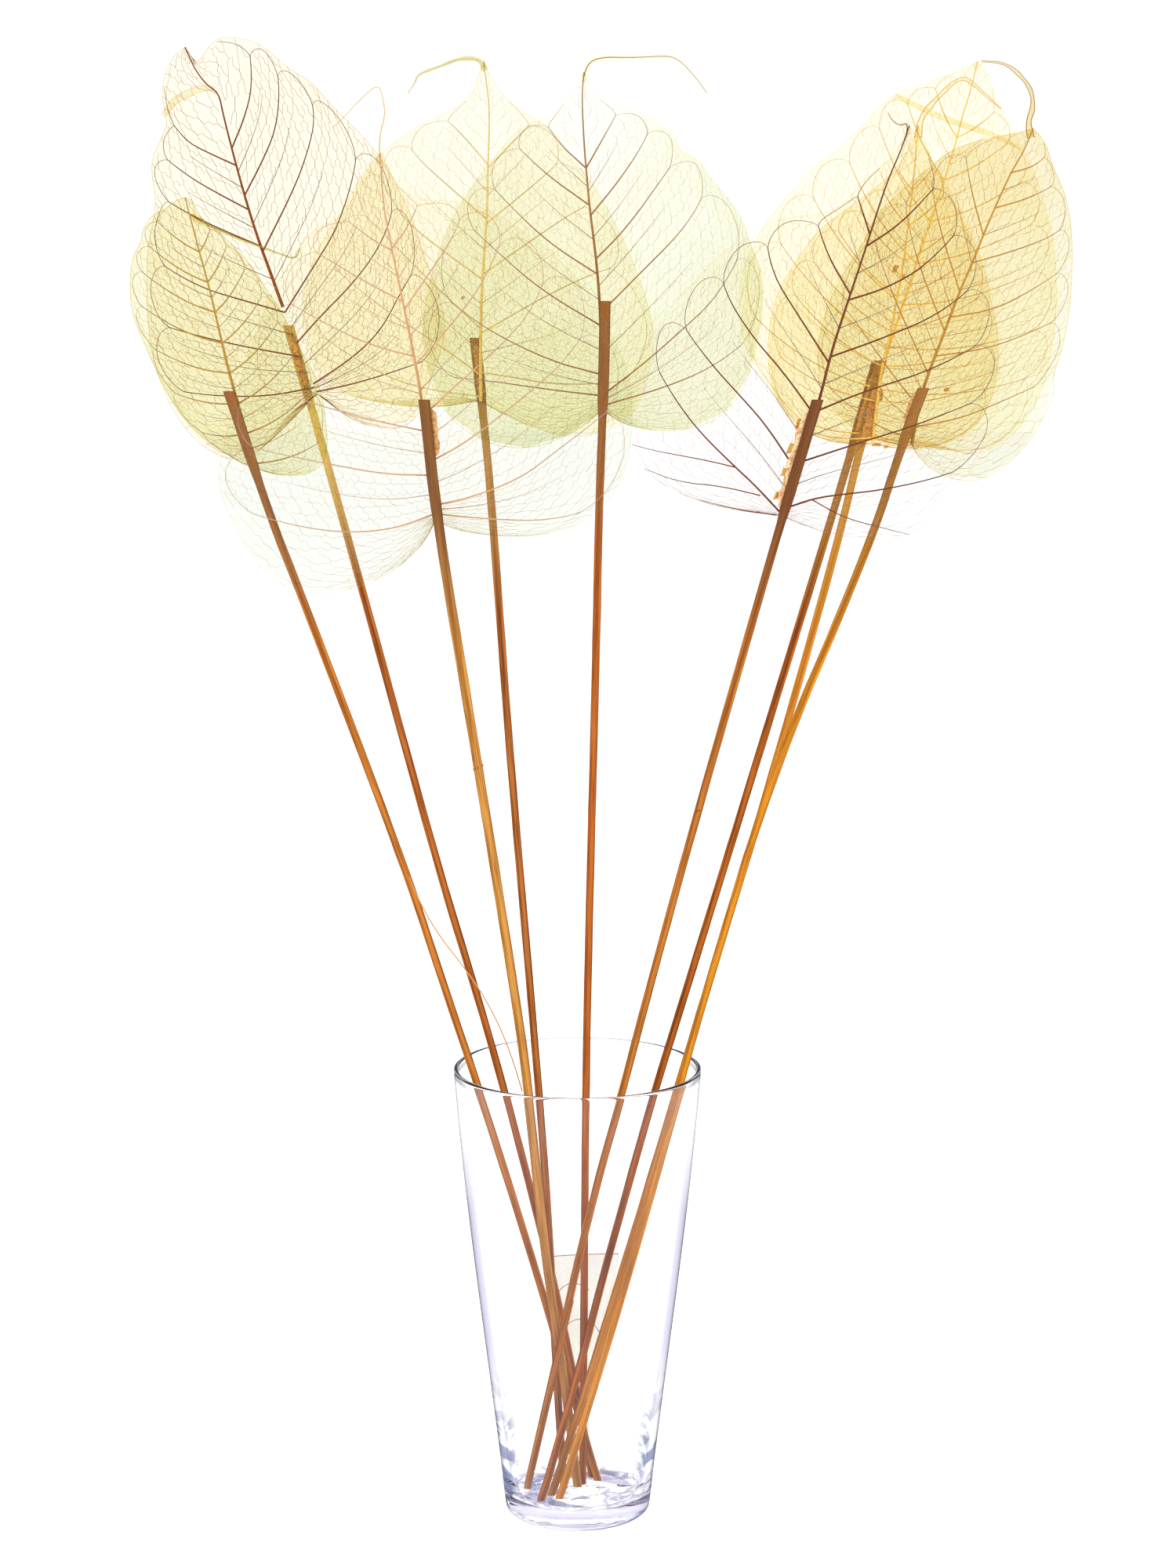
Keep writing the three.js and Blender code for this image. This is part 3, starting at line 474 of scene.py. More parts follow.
class Leaf:
    """A leaf's blade as a surface over the photograph's frame."""

    def __init__(self, table, stick, seed):
        self.table, self.stick, self.seed = table, stick, seed
        self.midrib = Line(table["midrib"])
        base, tip = table["midrib"][0], table["midrib"][-1]
        self.halves = []
        for name in ("left", "right"):
            margin = Line([base] + table[name] + [tip])
            veins = table.get("veins_" + name) or self.ruled_veins(margin)
            self.halves.append(Half(self.midrib, margin, veins))

    def ruled_veins(self, margin, count=8):
        """Side veins by rule: the lowest stand out from the midrib, the upper ones climb steeply,
        and each bows towards the base before it bends up."""
        veins = []
        for k in range(count):
            share = k / (count - 1)
            start = self.midrib.at(0.02 + 0.78 * share)
            ahead = (self.midrib.at(0.1 + 0.78 * share) - start).normalized()
            lean = math.radians(lerp(*RULED_LEANS, share ** 0.55))
            end = min((margin.at(s / 200) for s in range(10, 198)),
                      key=lambda spot: abs((spot - start).angle(ahead, 0.0) - lean))
            bow = -RULED_BOW * (end - start).length * ahead
            veins.append([lerp(start, end, t) + bow * t * (1 - t) for t in (0, 0.25, 0.5, 0.75, 1)])
        return veins

    def spot(self, point, lift=0.0):
        """The place in mm of a frame point on the blade, lifted away from the eye."""
        x, y = point
        table, stick = self.table, self.stick
        base, tip = table["midrib"][0][1], table["midrib"][-1][1]
        seat = STICK_DEPTH / 2 + 2 * SEAT_GAP + GLUE_THICKNESS + MIDRIB_RIDGE + BLADE_THICKNESS / 2
        across = (x - column_at(table["midrib"], y)) * MM_PER_PIXEL
        free = across - FLAT_ZONE * math.tanh(across / FLAT_ZONE)
        top = stick["line"][0][1]
        above = max(0.0, (top - y) / (top - tip))
        # Low waves 44 mm apart and crinkles 11 mm across, which die out towards the flat midrib
        wave = math.sin((base - y) / 21 + 2 * table["side"] + x / 90) * min(1.0, abs(free) / 60)
        crinkle = noise.noise(Vector((x / 34, y / 34, self.seed))) * min(1.0, abs(free) / 12)
        depth = (stick_depth(stick, y) + table["side"] * seat + table["turn"] * free
                 + table["cup"] * (free / 75) ** 2 + table["curl"] * above ** 2
                 + WAVE_HEIGHT * wave + CRINKLE_HEIGHT * crinkle)
        return place(x, y, depth + lift)


def new_bmesh():
    bm = bmesh.new()
    bm.loops.layers.uv.new("map")
    return bm


def sheet(bm, columns, rows, spot, uv):
    """A grid of quads: spot(i, j) places each corner and uv(i, j) gives its map coordinates."""
    made = bmesh.ops.create_grid(bm, x_segments=columns, y_segments=rows, size=0.5)["verts"]
    layer = bm.loops.layers.uv["map"]
    index = {v: (round((v.co.x + 0.5) * columns), round((v.co.y + 0.5) * rows)) for v in made}
    for v in made:
        for loop in v.link_loops:
            loop[layer].uv = uv(*index[v])
    for v, (i, j) in index.items():
        v.co = spot(i, j)
    return index


def tube(bm, rings, uv):
    """A closed tube through rings of places, each ring a list of points round its middle. It is
    made in a small mesh of its own, because operators are slow on a large one."""
    small, sides = new_bmesh(), len(rings[0])
    verts = sheet(small, sides, len(rings) - 1, lambda i, j: rings[j][i % sides], uv)
    bmesh.ops.remove_doubles(small, verts=list(verts), dist=1e-4)
    bmesh.ops.holes_fill(small, edges=[e for e in small.edges if e.is_boundary], sides=sides)
    carrier = bpy.data.meshes.new("tube")
    small.to_mesh(carrier)
    small.free()
    bm.from_mesh(carrier)
    bpy.data.meshes.remove(carrier)


def vein(bm, places, radii, sides, tones, ends=(0.0, 0.0)):
    """A round vein through places. From its first to its last place the radius runs between the
    two radii, and the map's two values between the two tones and the two ends."""
    last = len(places) - 1
    rings = []
    for k, middle in enumerate(places):
        ahead = places[min(k + 1, last)] - places[max(k - 1, 0)]
        side = ahead.cross(Vector((0, 1, 0))).normalized()
        radius = lerp(*radii, k / last)
        ring = []
        for s in range(sides):
            angle = 2 * math.pi * s / sides
            ring.append(middle + radius * (math.cos(angle) * side + Vector((0, math.sin(angle), 0))))
        rings.append(ring)
    tube(bm, rings, lambda i, j: (lerp(*tones, j / last), lerp(*ends, j / last)))


def face_the_eye(bm):
    bm.normal_update()
    bmesh.ops.reverse_faces(bm, faces=[f for f in bm.faces if f.normal.y > 0])
    bm.normal_update()


def thicken(bm, thickness):
    """Gives an open sheet its thickness, away from the eye."""
    made = bmesh.ops.extrude_face_region(bm, geom=bm.faces[:])["geom"]
    rear = [v for v in made if isinstance(v, bmesh.types.BMVert)]
    bmesh.ops.translate(bm, vec=Vector((0, thickness, 0)), verts=rear)


def finish_piece(name, bm, material, slot, replaces=None, smooth=True):
    """Turns a bmesh in mm into a piece in metres that rides on the body."""
    bmesh.ops.scale(bm, vec=Vector((MM, MM, MM)), verts=bm.verts)
    bmesh.ops.recalc_face_normals(bm, faces=bm.faces)
    mesh = bpy.data.meshes.new(name)
    bm.to_mesh(mesh)
    bm.free()
    mesh.shade_smooth() if smooth else mesh.shade_flat()
    mesh.materials.append(material)
    piece = bpy.data.objects.new(name, mesh)
    bpy.context.scene.collection.objects.link(piece)
    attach(piece, "root")
    if replaces:
        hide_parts(replaces)


# Leaf skeletons


def panel_grid(leaf, half, k):
    """How many columns and rows of net fit between side veins k and k + 1."""
    inner, outer = leaf.spot(half.point(k + 0.5, 0)), leaf.spot(half.point(k + 0.5, 1))
    low, high = leaf.spot(half.point(k, 0.62)), leaf.spot(half.point(k + 1, 0.62))
    columns = max(2, round((outer - inner).length * 2 / CELL_LENGTH))
    rows = max(1, round((high - low).length / CELL_HEIGHT))
    return columns, rows


def panel_points(half, k, columns, rows, draw):
    """The net's corners in one panel, as frame points: rows of bricks leant into hexagons."""
    points = {}
    for j in range(rows + 1):
        for i in range(columns + 1):
            v, t = float(j), float(i)
            if 0 < j < rows:
                v += (HEX_LEAN if (i + j) % 2 == 0 else -HEX_LEAN) + draw.uniform(-JITTER, JITTER)
            if 0 < i < columns:
                t += draw.uniform(-JITTER, JITTER)
            points[i, j] = half.point(k + v / rows, t / columns)
    return points


def net_panel(bm, leaf, half, k, draw):
    """One panel of open net between two side veins, and the cross veins that run through it."""
    columns, rows = panel_grid(leaf, half, k)
    points = panel_points(half, k, columns, rows, draw)
    spots = {key: leaf.spot(point, -NET_THICKNESS / 2) for key, point in points.items()}
    index = sheet(bm, columns, rows, lambda i, j: spots[i, j],
                  lambda i, j: (ONE_LAYER, (k + j / rows) / half.panels))
    odd = []
    for edge in {e for v in index for e in v.link_edges}:
        (ai, aj), (bi, bj) = index[edge.verts[0]], index[edge.verts[1]]
        if ai == bi and 0 < ai < columns and (ai + min(aj, bj)) % 2 == 1:
            odd.append(edge)
    bmesh.ops.dissolve_edges(bm, edges=odd, use_verts=False, use_face_split=False)
    bmesh.ops.remove_doubles(bm, verts=[v for v in index if v.is_valid], dist=CLOSEST_CORNERS)
    return cross_paths(points, columns, rows, draw)


def cross_paths(points, columns, rows, draw):
    """Cross veins along the net's own corners: polygons a few cells wide, set like bricks."""
    paths = []
    for low in range(0, rows, CROSS_ROWS):
        high = min(low + CROSS_ROWS, rows)
        start = draw.randrange(0, 3)
        if high < rows and start < columns:
            paths.append([points[i, high] for i in range(start, columns + 1)])
        shift = draw.randrange(0, CROSS_COLUMNS)
        for foot in range(1 + shift, columns - 1, CROSS_COLUMNS):
            i, path = foot, []
            for j in range(low, high + 1):
                path.append(points[i, j])
                if (i + j) % 2 == 1 and j < high and i + 1 < columns:
                    i += 1
                    path.append(points[i, j])
            apart = (Vector(path[0]) - Vector(path[-1])).length
            if apart > CROSS_VEIN_LEAST_PIXELS:
                paths.append(path)
    return paths


def leaf_net(leaf, number, material, slot):
    """The open net of a leaf, cut from sheets of brick cells, with a strut round every hole. The
    paths of its cross veins come back."""
    draw = random.Random(100 + number)
    bm = new_bmesh()
    paths = []
    for half in leaf.halves:
        for k in range(half.panels):
            paths += net_panel(bm, leaf, half, k, draw)
    face_the_eye(bm)
    cells = [f for f in bm.faces if f.calc_area() > SMALLEST_CELL_AREA]
    bmesh.ops.inset_individual(bm, faces=cells, thickness=STRUT_WIDTH / 2, use_interpolate=True)
    bmesh.ops.delete(bm, geom=cells, context="FACES_ONLY")
    thicken(bm, NET_THICKNESS)
    rims = [([leaf.spot(point) for point in half.margin.stations(MARGIN_STEPS)], (0.0, 1.0))
            for half in leaf.halves]
    if "fold" in leaf.table:
        rims += [([fold_spot(leaf, k / 40, side, 0) for k in range(41)], (1.0, 1.0))
                 for side in (-0.5, 0.5)]
    for places, ends in rims:
        vein(bm, places, MARGIN_RADII, 4, (MARGIN_LAYERS, MARGIN_LAYERS), ends)
    finish_piece(f"leaf_{number}_net", bm, material, slot, f"leaf_{number}", smooth=False)
    return paths


def leaf_veins(leaf, number, paths, material, slot):
    """Midrib, side veins and cross veins as round tapered tubes. The map's first value is how far
    a vein has thinned out, from 0 at the midrib to 1."""
    bm = new_bmesh()

    def add(points, radii, sides, tones):
        vein(bm, [leaf.spot(point) for point in points], radii, sides, tones)

    strength = leaf.table.get("strong", 1)
    side_radii = [radius * strength for radius in SIDE_VEIN_RADII]
    fade = 0.7 if strength == 1 else 0.55
    add(leaf.midrib.stations(60, leaf.table.get("seated", 0)), MIDRIB_RADII, 8, (0.0, 0.45))
    for half in leaf.halves:
        for k, (_, _, line) in enumerate(half.knots[1:-1], 1):
            add(line.stations(24, 0.0, BEND), side_radii, 6, (0.25, fade))
            arch(add, half, k, fade)
    for branch in leaf.table.get("branches", []):
        add(Line(branch).stations(16), BRANCH_RADII, 5, (0.15, 0.7))
    for path in paths:
        add(path, CROSS_VEIN_RADII, 3, (0.9, 1.0))
    if "tail" in leaf.table:
        pairs = ribbon(leaf)
        for share in leaf.table.get("tail_lines", (0.55,)):
            places = [lerp(*pair, share) - Vector((0, 0.1, 0)) for pair in pairs]
            vein(bm, places, TAIL_EDGE_RADII, 5, leaf.table.get("tail_tones", TAIL_TONES))
    finish_piece(f"leaf_{number}_veins", bm, material, slot, f"leaf_{number}")


def arch(add, half, k, fade):
    """Where side vein k bends, it runs on inside the margin as a thin arch to the bend of the next
    one. Between the two a thinner vein gives out half way across."""
    last = k == half.panels - 1
    points = [half.knots[k][2].at(BEND - 0.02), half.knots[k][2].at(BEND)]
    for w in (0.06, 0.2, 0.4, 0.6, 0.8, 0.94):
        if not last or w < 0.5:
            points.append(half.point(k + w, lerp(BEND, 0.975, math.sin(math.pi * w) ** 0.6)))
    if not last:
        points.append(half.point(k + 1, BEND))
    add(Line(points).stations(24), ARCH_RADII, 5, (fade, fade + 0.2))
    if not last:
        between = [half.point(k + 0.5 + 0.1 * s / 14, 0.62 * s / 14) for s in range(15)]
        add(between, BETWEEN_RADII, 4, (0.6, 0.9))


def ribbon(leaf, steps=48):
    """The two edges of the drawn-out tip, a ribbon that narrows and twists, as pairs of places."""
    points, side = leaf.table["tail"], leaf.table["side"]
    start = leaf.spot(points[0]).y
    line = Line([(x, y, start + 0.8 * i * side) for i, (x, y) in enumerate(points)])
    pairs = []
    for k in range(steps + 1):
        share = k / steps
        spot, ahead = line.at(share), line.at(min(share + 0.02, 1.0)) - line.at(share - 0.02)
        middle = place(*spot)
        along = (place(*(spot + ahead)) - middle).normalized()
        flat = along.cross(Vector((0, 1, 0))).normalized()
        turn = 1.1 * math.sin(6 * share + leaf.seed) * share
        half = lerp(*TAIL_HALF_WIDTHS, share ** 0.7) * (1 + 0.15 * math.sin(31 * share))
        reach = half * (math.cos(turn) * flat + math.sin(turn) * along.cross(flat))
        pairs.append((middle - reach, middle + reach))
    return pairs


def leaf_film(leaf, number, material, slot):
    """The finest net between the struts, as a thin sheet on each side of the midrib, with the
    crease and the drawn-out tip where the leaf has them."""
    bm = new_bmesh()
    columns, rows_a_panel, fold_rows = 16, 5, 24
    for half in leaf.halves:
        rows = half.panels * rows_a_panel
        sheet(bm, columns, rows,
              lambda i, j: leaf.spot(half.point(j / rows_a_panel, i / columns), -FILM_THICKNESS / 2),
              lambda i, j: (ONE_LAYER, j / rows))
    bmesh.ops.remove_doubles(bm, verts=bm.verts, dist=0.02)
    if "fold" in leaf.table:
        sheet(bm, 3, fold_rows, lambda i, j: fold_spot(leaf, j / fold_rows, i / 3 - 0.5, i % 2),
              lambda i, j: (FOLD_LAYERS, 1.0))
    if "tail" in leaf.table:
        pairs = ribbon(leaf)
        sheet(bm, 2, len(pairs) - 1, lambda i, j: lerp(*pairs[j], i / 2),
              lambda i, j: (leaf.table["tail_layers"], 1.0))
    face_the_eye(bm)
    thicken(bm, FILM_THICKNESS)
    finish_piece(f"leaf_{number}_film", bm, material, slot, f"leaf_{number}")


def fold_spot(leaf, share, across, ridge):
    """A place on a crease, where the blade lies double: a strip just in front of the blade."""
    line = Line(leaf.table["fold"]["line"])
    ahead = line.at(min(share + 0.03, 1.0)) - line.at(share - 0.03)
    square = Vector((-ahead.y, ahead.x)).normalized()
    width = leaf.table["fold"]["width"] * math.sin(math.pi * (0.1 + 0.85 * share)) ** 0.5
    return leaf.spot(line.at(share) + square * width * across, -0.5 - 0.2 * ridge)


# Sticks, glue and small bits


def splint(stick, leaf, number, material, slot):
    """A split stick: an uneven four-cornered section, thicker where the leaf is glued on."""
    draw = random.Random(40 + number)
    spots = [place(x, y, stick_depth(stick, y)) for x, y in Line(stick["line"]).stations(STICK_STATIONS)]
    last, above = spots[-1], spots[-2]
    spots[-1] = lerp(above, last, (above.z - FLOOR_THICKNESS - SEAT_GAP) / (above.z - last.z))
    base = place(*leaf.table["midrib"][0], stick_depth(stick, leaf.table["midrib"][0][1])).z
    # Corners of its section, as shares of half the width and half the depth
    lean = draw.uniform(-0.25, 0.25)
    corners = [(-1, -0.35 - lean), (-0.7 + lean, -0.94), (-0.2, -1), (0.4, -0.97), (0.86, -0.86),
               (1, -0.1 + lean), (0.92, 0.7), (0.5, 0.97), (-0.1, 1), (-0.66, 0.95), (-0.97, 0.62)]
    rings = []
    for k, spot in enumerate(spots):
        before, after = spots[max(0, k - 1)], spots[min(len(spots) - 1, k + 1)]
        slope = math.hypot(after.x - before.x, after.z - before.z) / abs(after.z - before.z)
        swell = min(max((spot.z - base + 4) / 8, 0.0), 1.0)
        width = lerp(STICK_WIDTH * stick.get("wide", 1), GLUED_WIDTH, swell) * slope
        ring = []
        for c, (x, y) in enumerate(corners):
            # Each corner wavers along the stick, in long swells and in short steps.
            rough = 1 - 0.09 * abs(noise.noise(Vector((k / 5, c * 3.1, number))))
            rough -= 0.05 * abs(noise.noise(Vector((k * 1.3, c * 3.1, number + 50))))
            ring.append(spot + Vector((x * width / 2 * rough, y * STICK_DEPTH / 2 * rough, 0)))
        rings.append(ring)
    length = (spots[0] - spots[-1]).length * MM
    bm = new_bmesh()
    tube(bm, rings, lambda i, j: (i / len(corners), length * j / STICK_STATIONS))
    if "scar" in stick:
        scar(bm, stick, rings)
    if "sliver" in stick:
        sliver(bm, stick)
    finish_piece(f"stick_{number}_splint", bm, material, slot, f"stick_{number}", smooth=False)


def scar(bm, stick, rings):
    """A leaf scar: a thin raised ring round the stick, set askew."""
    top, foot = stick["line"][0][1], stick["line"][-1][1]
    target = (stick["scar"] - top) / (foot - top) * STICK_STATIONS
    k = int(target)
    raised = []
    for offset in (0.0, 0.12):
        ring = [lerp(a, b, target - k + offset) for a, b in zip(rings[k], rings[k + 1])]
        middle = sum(ring, Vector()) / len(ring)
        raised.append([middle + (p - middle) * 1.04 + Vector((0, 0, 0.5 * (p.x - middle.x))) for p in ring])
    tube(bm, raised, lambda i, j: (2.0, 0.2))


def sliver(bm, stick, steps=24):
    """A sliver that has split off the front of the stick and lifts at its top."""
    rings = []
    for k, (x, y) in enumerate(Line(stick["sliver"]).stations(steps)):
        share = k / steps
        middle = place(x, y, stick_depth(stick, y) - lerp(*SLIVER_GAPS, share))
        half = 0.2 + 0.9 * math.sin(math.pi * min(share * 0.9 + 0.03, 1.0)) ** 0.7
        section = ((-1, 0), (-0.6, -0.5), (0.6, -0.5), (1, 0), (0.6, 0.5), (-0.6, 0.5))
        rings.append([middle + Vector((sx * half, sy * 0.8, 0)) for sx, sy in section])
    tube(bm, rings, lambda i, j: (i / 6, 0.42 + 0.05 * j / steps))


def glue_bead(node, number, material, slot):
    """Hot-melt glue squeezed between stick and midrib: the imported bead, made lumpy."""
    bm = bmesh.new()
    bm.from_mesh(node.data)
    bm.loops.layers.uv.verify()
    bmesh.ops.scale(bm, vec=Vector((1 / MM, 1 / MM, 1 / MM)), verts=bm.verts)
    bmesh.ops.remove_doubles(bm, verts=bm.verts, dist=1e-3)
    bmesh.ops.subdivide_edges(bm, edges=bm.edges[:], cuts=2, use_grid_fill=True)
    middle = sum((v.co for v in bm.verts), Vector()) / len(bm.verts)
    for v in bm.verts:
        lump = noise.noise(v.co * 0.55 + Vector((number, 0, 0)))
        fine = noise.noise(v.co * 1.9)
        v.co.x += (0.55 * lump + 0.2 * fine) * (1 if v.co.x > middle.x else -1)
        v.co.z += 0.25 * fine
    finish_piece(f"glue_{number}_bead", bm, material, slot, f"glue_{number}")


def flakes(leaves, material, slot):
    """Torn bits of leaf stuck in the glue: small curled plates with ragged outlines."""
    bm = new_bmesh()
    for number, flake in enumerate(FLAKES):
        stick, leaf = STICKS[flake["stick"]], leaves[flake["stick"]]
        x, y = flake["at"]
        depth = leaf.spot((x, y)).y - 0.5
        if abs(x - column_at(stick["line"], y)) < FLAKE_REACH_PIXELS:
            depth = stick_depth(stick, y) + leaf.table["side"] * (STICK_DEPTH / 2 + SEAT_GAP)
        middle = place(x, y, depth)
        wide, tall = flake["size"]

        def spot(i, j):
            u, v = i / 6 - 0.5, j / 6 - 0.5
            torn = 0.8 + 0.5 * noise.noise(Vector((u * 4 + number, v * 4, 3)))
            curl = 0.35 * math.sin(3 * u + 2 * v + number)
            return middle + Vector((u * wide * torn + 0.3 * v * tall, curl, v * tall * torn))

        sheet(bm, 6, 6, spot, lambda i, j: (0.9, 0.4))
    face_the_eye(bm)
    thicken(bm, FLAKE_THICKNESS)
    finish_piece("torn_flakes", bm, material, slot)


def leaf_scrap(film, veins, slot):
    """The scrap between the sticks: a bent sheet with a few arcs of vein."""
    edges = [Line(SCRAP["left"]), Line(SCRAP["right"])]
    columns, rows = 6, 20

    def depth_at(share):
        return lerp(SCRAP["foot"], SCRAP["top"], share)

    def spot(i, j):
        share, t = j / rows, i / columns
        x, y = lerp(edges[0].at(share), edges[1].at(share), t)
        bow = 2 * math.sin(math.pi * share) * (1 - abs(2 * t - 1))
        spot = place(x, y, depth_at(share) + bow)
        return Vector((spot.x, spot.y, max(spot.z, FLOOR_THICKNESS + SEAT_GAP)))

    bm = new_bmesh()
    sheet(bm, columns, rows, spot, lambda i, j: (SCRAP_LAYERS, j / rows))
    face_the_eye(bm)
    thicken(bm, SCRAP_THICKNESS)
    finish_piece("leaf_scrap_film", bm, film, slot, "leaf_scrap")
    bm = new_bmesh()
    point_row, rows_tall = SCRAP["left"][0][1], SCRAP["left"][0][1] - SCRAP["left"][-1][1]
    for bowed in SCRAP["arcs"]:
        places = [place(x, y, depth_at((point_row - y) / rows_tall) + 0.6)
                  for x, y in Line(bowed).stations(20)]
        vein(bm, places, SCRAP_VEIN_RADII, 4, (0.7, 0.7))
    finish_piece("leaf_scrap_veins", bm, veins, slot, "leaf_scrap")


def fibre(material, slot):
    """One thin fibre that has come off the first stick and hangs into the vase."""
    places = [place(*spot) for spot in Line(FIBRE).stations(60)]
    bm = new_bmesh()
    vein(bm, places, FIBRE_RADII, 6, (0.3, 0.3))
    finish_piece("loose_fibre", bm, material, slot)


# Vase


def round_corner(centre, radius, start, end, steps):
    """Points of a round corner in the profile plane, angles in degrees from outwards to up."""
    angles = [math.radians(lerp(start, end, k / steps)) for k in range(steps + 1)]
    return [(centre[0] + radius * math.cos(a), centre[1] + radius * math.sin(a)) for a in angles]


def vase(material, slot):
    """The glass, spun round the axis from the underside over the rim down to the inner floor."""
    outer = Line([(FOOT_RADIUS, FOOT_ROUNDING)] + [(r, z) for z, r in VASE_SIDE_RADII]
                 + [(RIM_RADIUS, LIP_HEIGHT)])
    wall = [(r - lerp(WALL_AT_FOOT, WALL_AT_RIM, z / VASE_HEIGHT), z) for z, r in VASE_SIDE_RADII[1:]]
    heel = FLOOR_THICKNESS + INNER_ROUNDING
    inner = Line([(RIM_RADIUS - WALL_AT_RIM, LIP_HEIGHT)] + wall[::-1] + [(INNER_FOOT_RADIUS, heel)])
    lip = WALL_AT_RIM / 2
    # From the middle of the hollow underside to the ring that the vase stands on
    profile = [(0.0, 1.2), (FOOT_RADIUS - 9, 0.9), (FOOT_RADIUS - 5.4, 0.0), (FOOT_RADIUS - 4.2, 0.0)]
    profile += round_corner((FOOT_RADIUS - 3.6, FOOT_ROUNDING), FOOT_ROUNDING, -82, -8, 6)
    # Extra rings close to the lip keep its rounding out of the flat wall's shading.
    stops = [k / 30 for k in range(1, 30)] + [0.99, 0.998, 1.0]
    profile += [tuple(outer.at(stop)) for stop in stops]
    profile += round_corner((RIM_RADIUS - lip, LIP_HEIGHT), lip, 10, 170, 10)
    profile += [tuple(inner.at(1 - stop)) for stop in stops[::-1]]
    profile += round_corner((INNER_FOOT_RADIUS - INNER_ROUNDING, heel), INNER_ROUNDING, -20, -80, 5)
    # The inner floor sinks a little towards its middle.
    profile += [(FOOT_RADIUS - 14, FLOOR_THICKNESS - 0.3), (0.0, FLOOR_THICKNESS - 0.9)]
    bm = new_bmesh()
    chain = [bm.verts.new((r, 0, z)) for r, z in profile]
    edges = [bm.edges.new(pair) for pair in zip(chain, chain[1:])]
    bmesh.ops.spin(bm, geom=chain + edges, cent=(0, 0, 0), axis=(0, 0, 1), angle=2 * math.pi,
                   steps=VASE_TURN_STEPS, use_merge=True)
    bmesh.ops.remove_doubles(bm, verts=bm.verts, dist=1e-3)
    # The floor inside and the hollow underneath cooled in low waves.
    for v in bm.verts:
        inwards = min(max((FOOT_RADIUS - 6 - math.hypot(v.co.x, v.co.y)) / 6, 0.0), 1.0)
        if v.co.z < FLOOR_THICKNESS:
            ripple = noise.noise(Vector((v.co.x / 7, v.co.y / 3.5, v.co.z / 5)))
            v.co.z += RIPPLE_HEIGHT * inwards * ripple
    finish_piece("vase_glass", bm, material, slot, "vase")


# Materials

# ShaderNodeMix keeps its colour inputs at these places.
MIX_A, MIX_B = 6, 7


def add_node(tree, kind, inputs=None, **settings):
    """Adds a node, sets its settings, and fills or links its inputs. A node given for an input
    stands for its first output in use."""
    node = tree.nodes.new("ShaderNode" + kind)
    for name, value in settings.items():
        setattr(node, name, value)
    for name, value in (inputs or {}).items():
        if isinstance(value, bpy.types.Node):
            value = next(socket for socket in value.outputs if socket.enabled)
        if isinstance(value, bpy.types.NodeSocket):
            tree.links.new(value, node.inputs[name])
        else:
            node.inputs[name].default_value = value
    return node


def empty_tree(owner):
    """Clears the nodes of a new material or world, and returns what adds nodes to it."""
    owner.use_nodes = True
    owner.node_tree.nodes.clear()
    return functools.partial(add_node, owner.node_tree)


def colour(code):
    """A hex sRGB colour as linear RGBA."""
    channels = [int(code[k:k + 2], 16) / 255 for k in (1, 3, 5)]
    return [c / 12.92 if c <= 0.04045 else ((c + 0.055) / 1.055) ** 2.4 for c in channels] + [1.0]


def dyed_leaf(name, base, tip, cells, cover):
    """Bleached and dyed leaf tissue: a sheer filter that light passes and takes its tint from, a
    little papery and mottled. cells draws hair-thin cells about 1.1 mm across, for the part of the
    net that is too fine to cut, and cover is the share of light that the fibres stop."""
    material = bpy.data.materials.new(name)
    add = empty_tree(material)
    spot = add("TexCoord").outputs["Object"]
    parts = add("SeparateXYZ", {"Vector": add("UVMap", uv_map="map")}).outputs
    tint = add("Mix", {0: parts["Y"], MIX_A: colour(base), MIX_B: colour(tip)}, data_type="RGBA")
    patches = add("TexNoise", {"Vector": spot, "Scale": 45.0, "Detail": 4.0})
    # The tint is for the whole sheet, so each of its two faces takes about the square root of it.
    density = add("MapRange", {"Value": patches, "From Min": 0.3, "From Max": 0.7,
                               "To Min": 0.38, "To Max": 0.58})
    mesh = add("TexVoronoi", {"Vector": spot, "Scale": 1 / (FINE_CELL * MM)},
               feature="DISTANCE_TO_EDGE")
    line = add("MapRange", {"Value": mesh, "From Min": 0.02, "From Max": 0.14,
                            "To Min": cells, "To Max": 0.0})
    lined = add("Math", {0: line, 1: density}, operation="ADD")
    layers = add("MapRange", {"Value": parts["X"], "From Min": 1.0, "From Max": 2.0,
                              "To Min": 1.0, "To Max": 4.0})
    power = add("Math", {0: lined, 1: layers}, operation="MULTIPLY")
    through = add("BsdfTransparent", {"Color": add("Gamma", {"Color": tint, "Gamma": power})})
    body = add("BsdfPrincipled", {"Base Color": tint, "Roughness": 0.7, "IOR": 1.45})
    mixed = add("MixShader", {0: cover, 1: through, 2: body})
    # Light from the lamps takes one plain tint, which is quicker and looks the same.
    shade = [lerp(a, b, 0.5) ** 0.5 for a, b in zip(colour(base), colour(tip))]
    lit = add("BsdfTransparent", {"Color": shade})
    shadow = add("LightPath").outputs["Is Shadow Ray"]
    add("OutputMaterial", {"Surface": add("MixShader", {0: shadow, 1: mixed, 2: lit})})
    return material


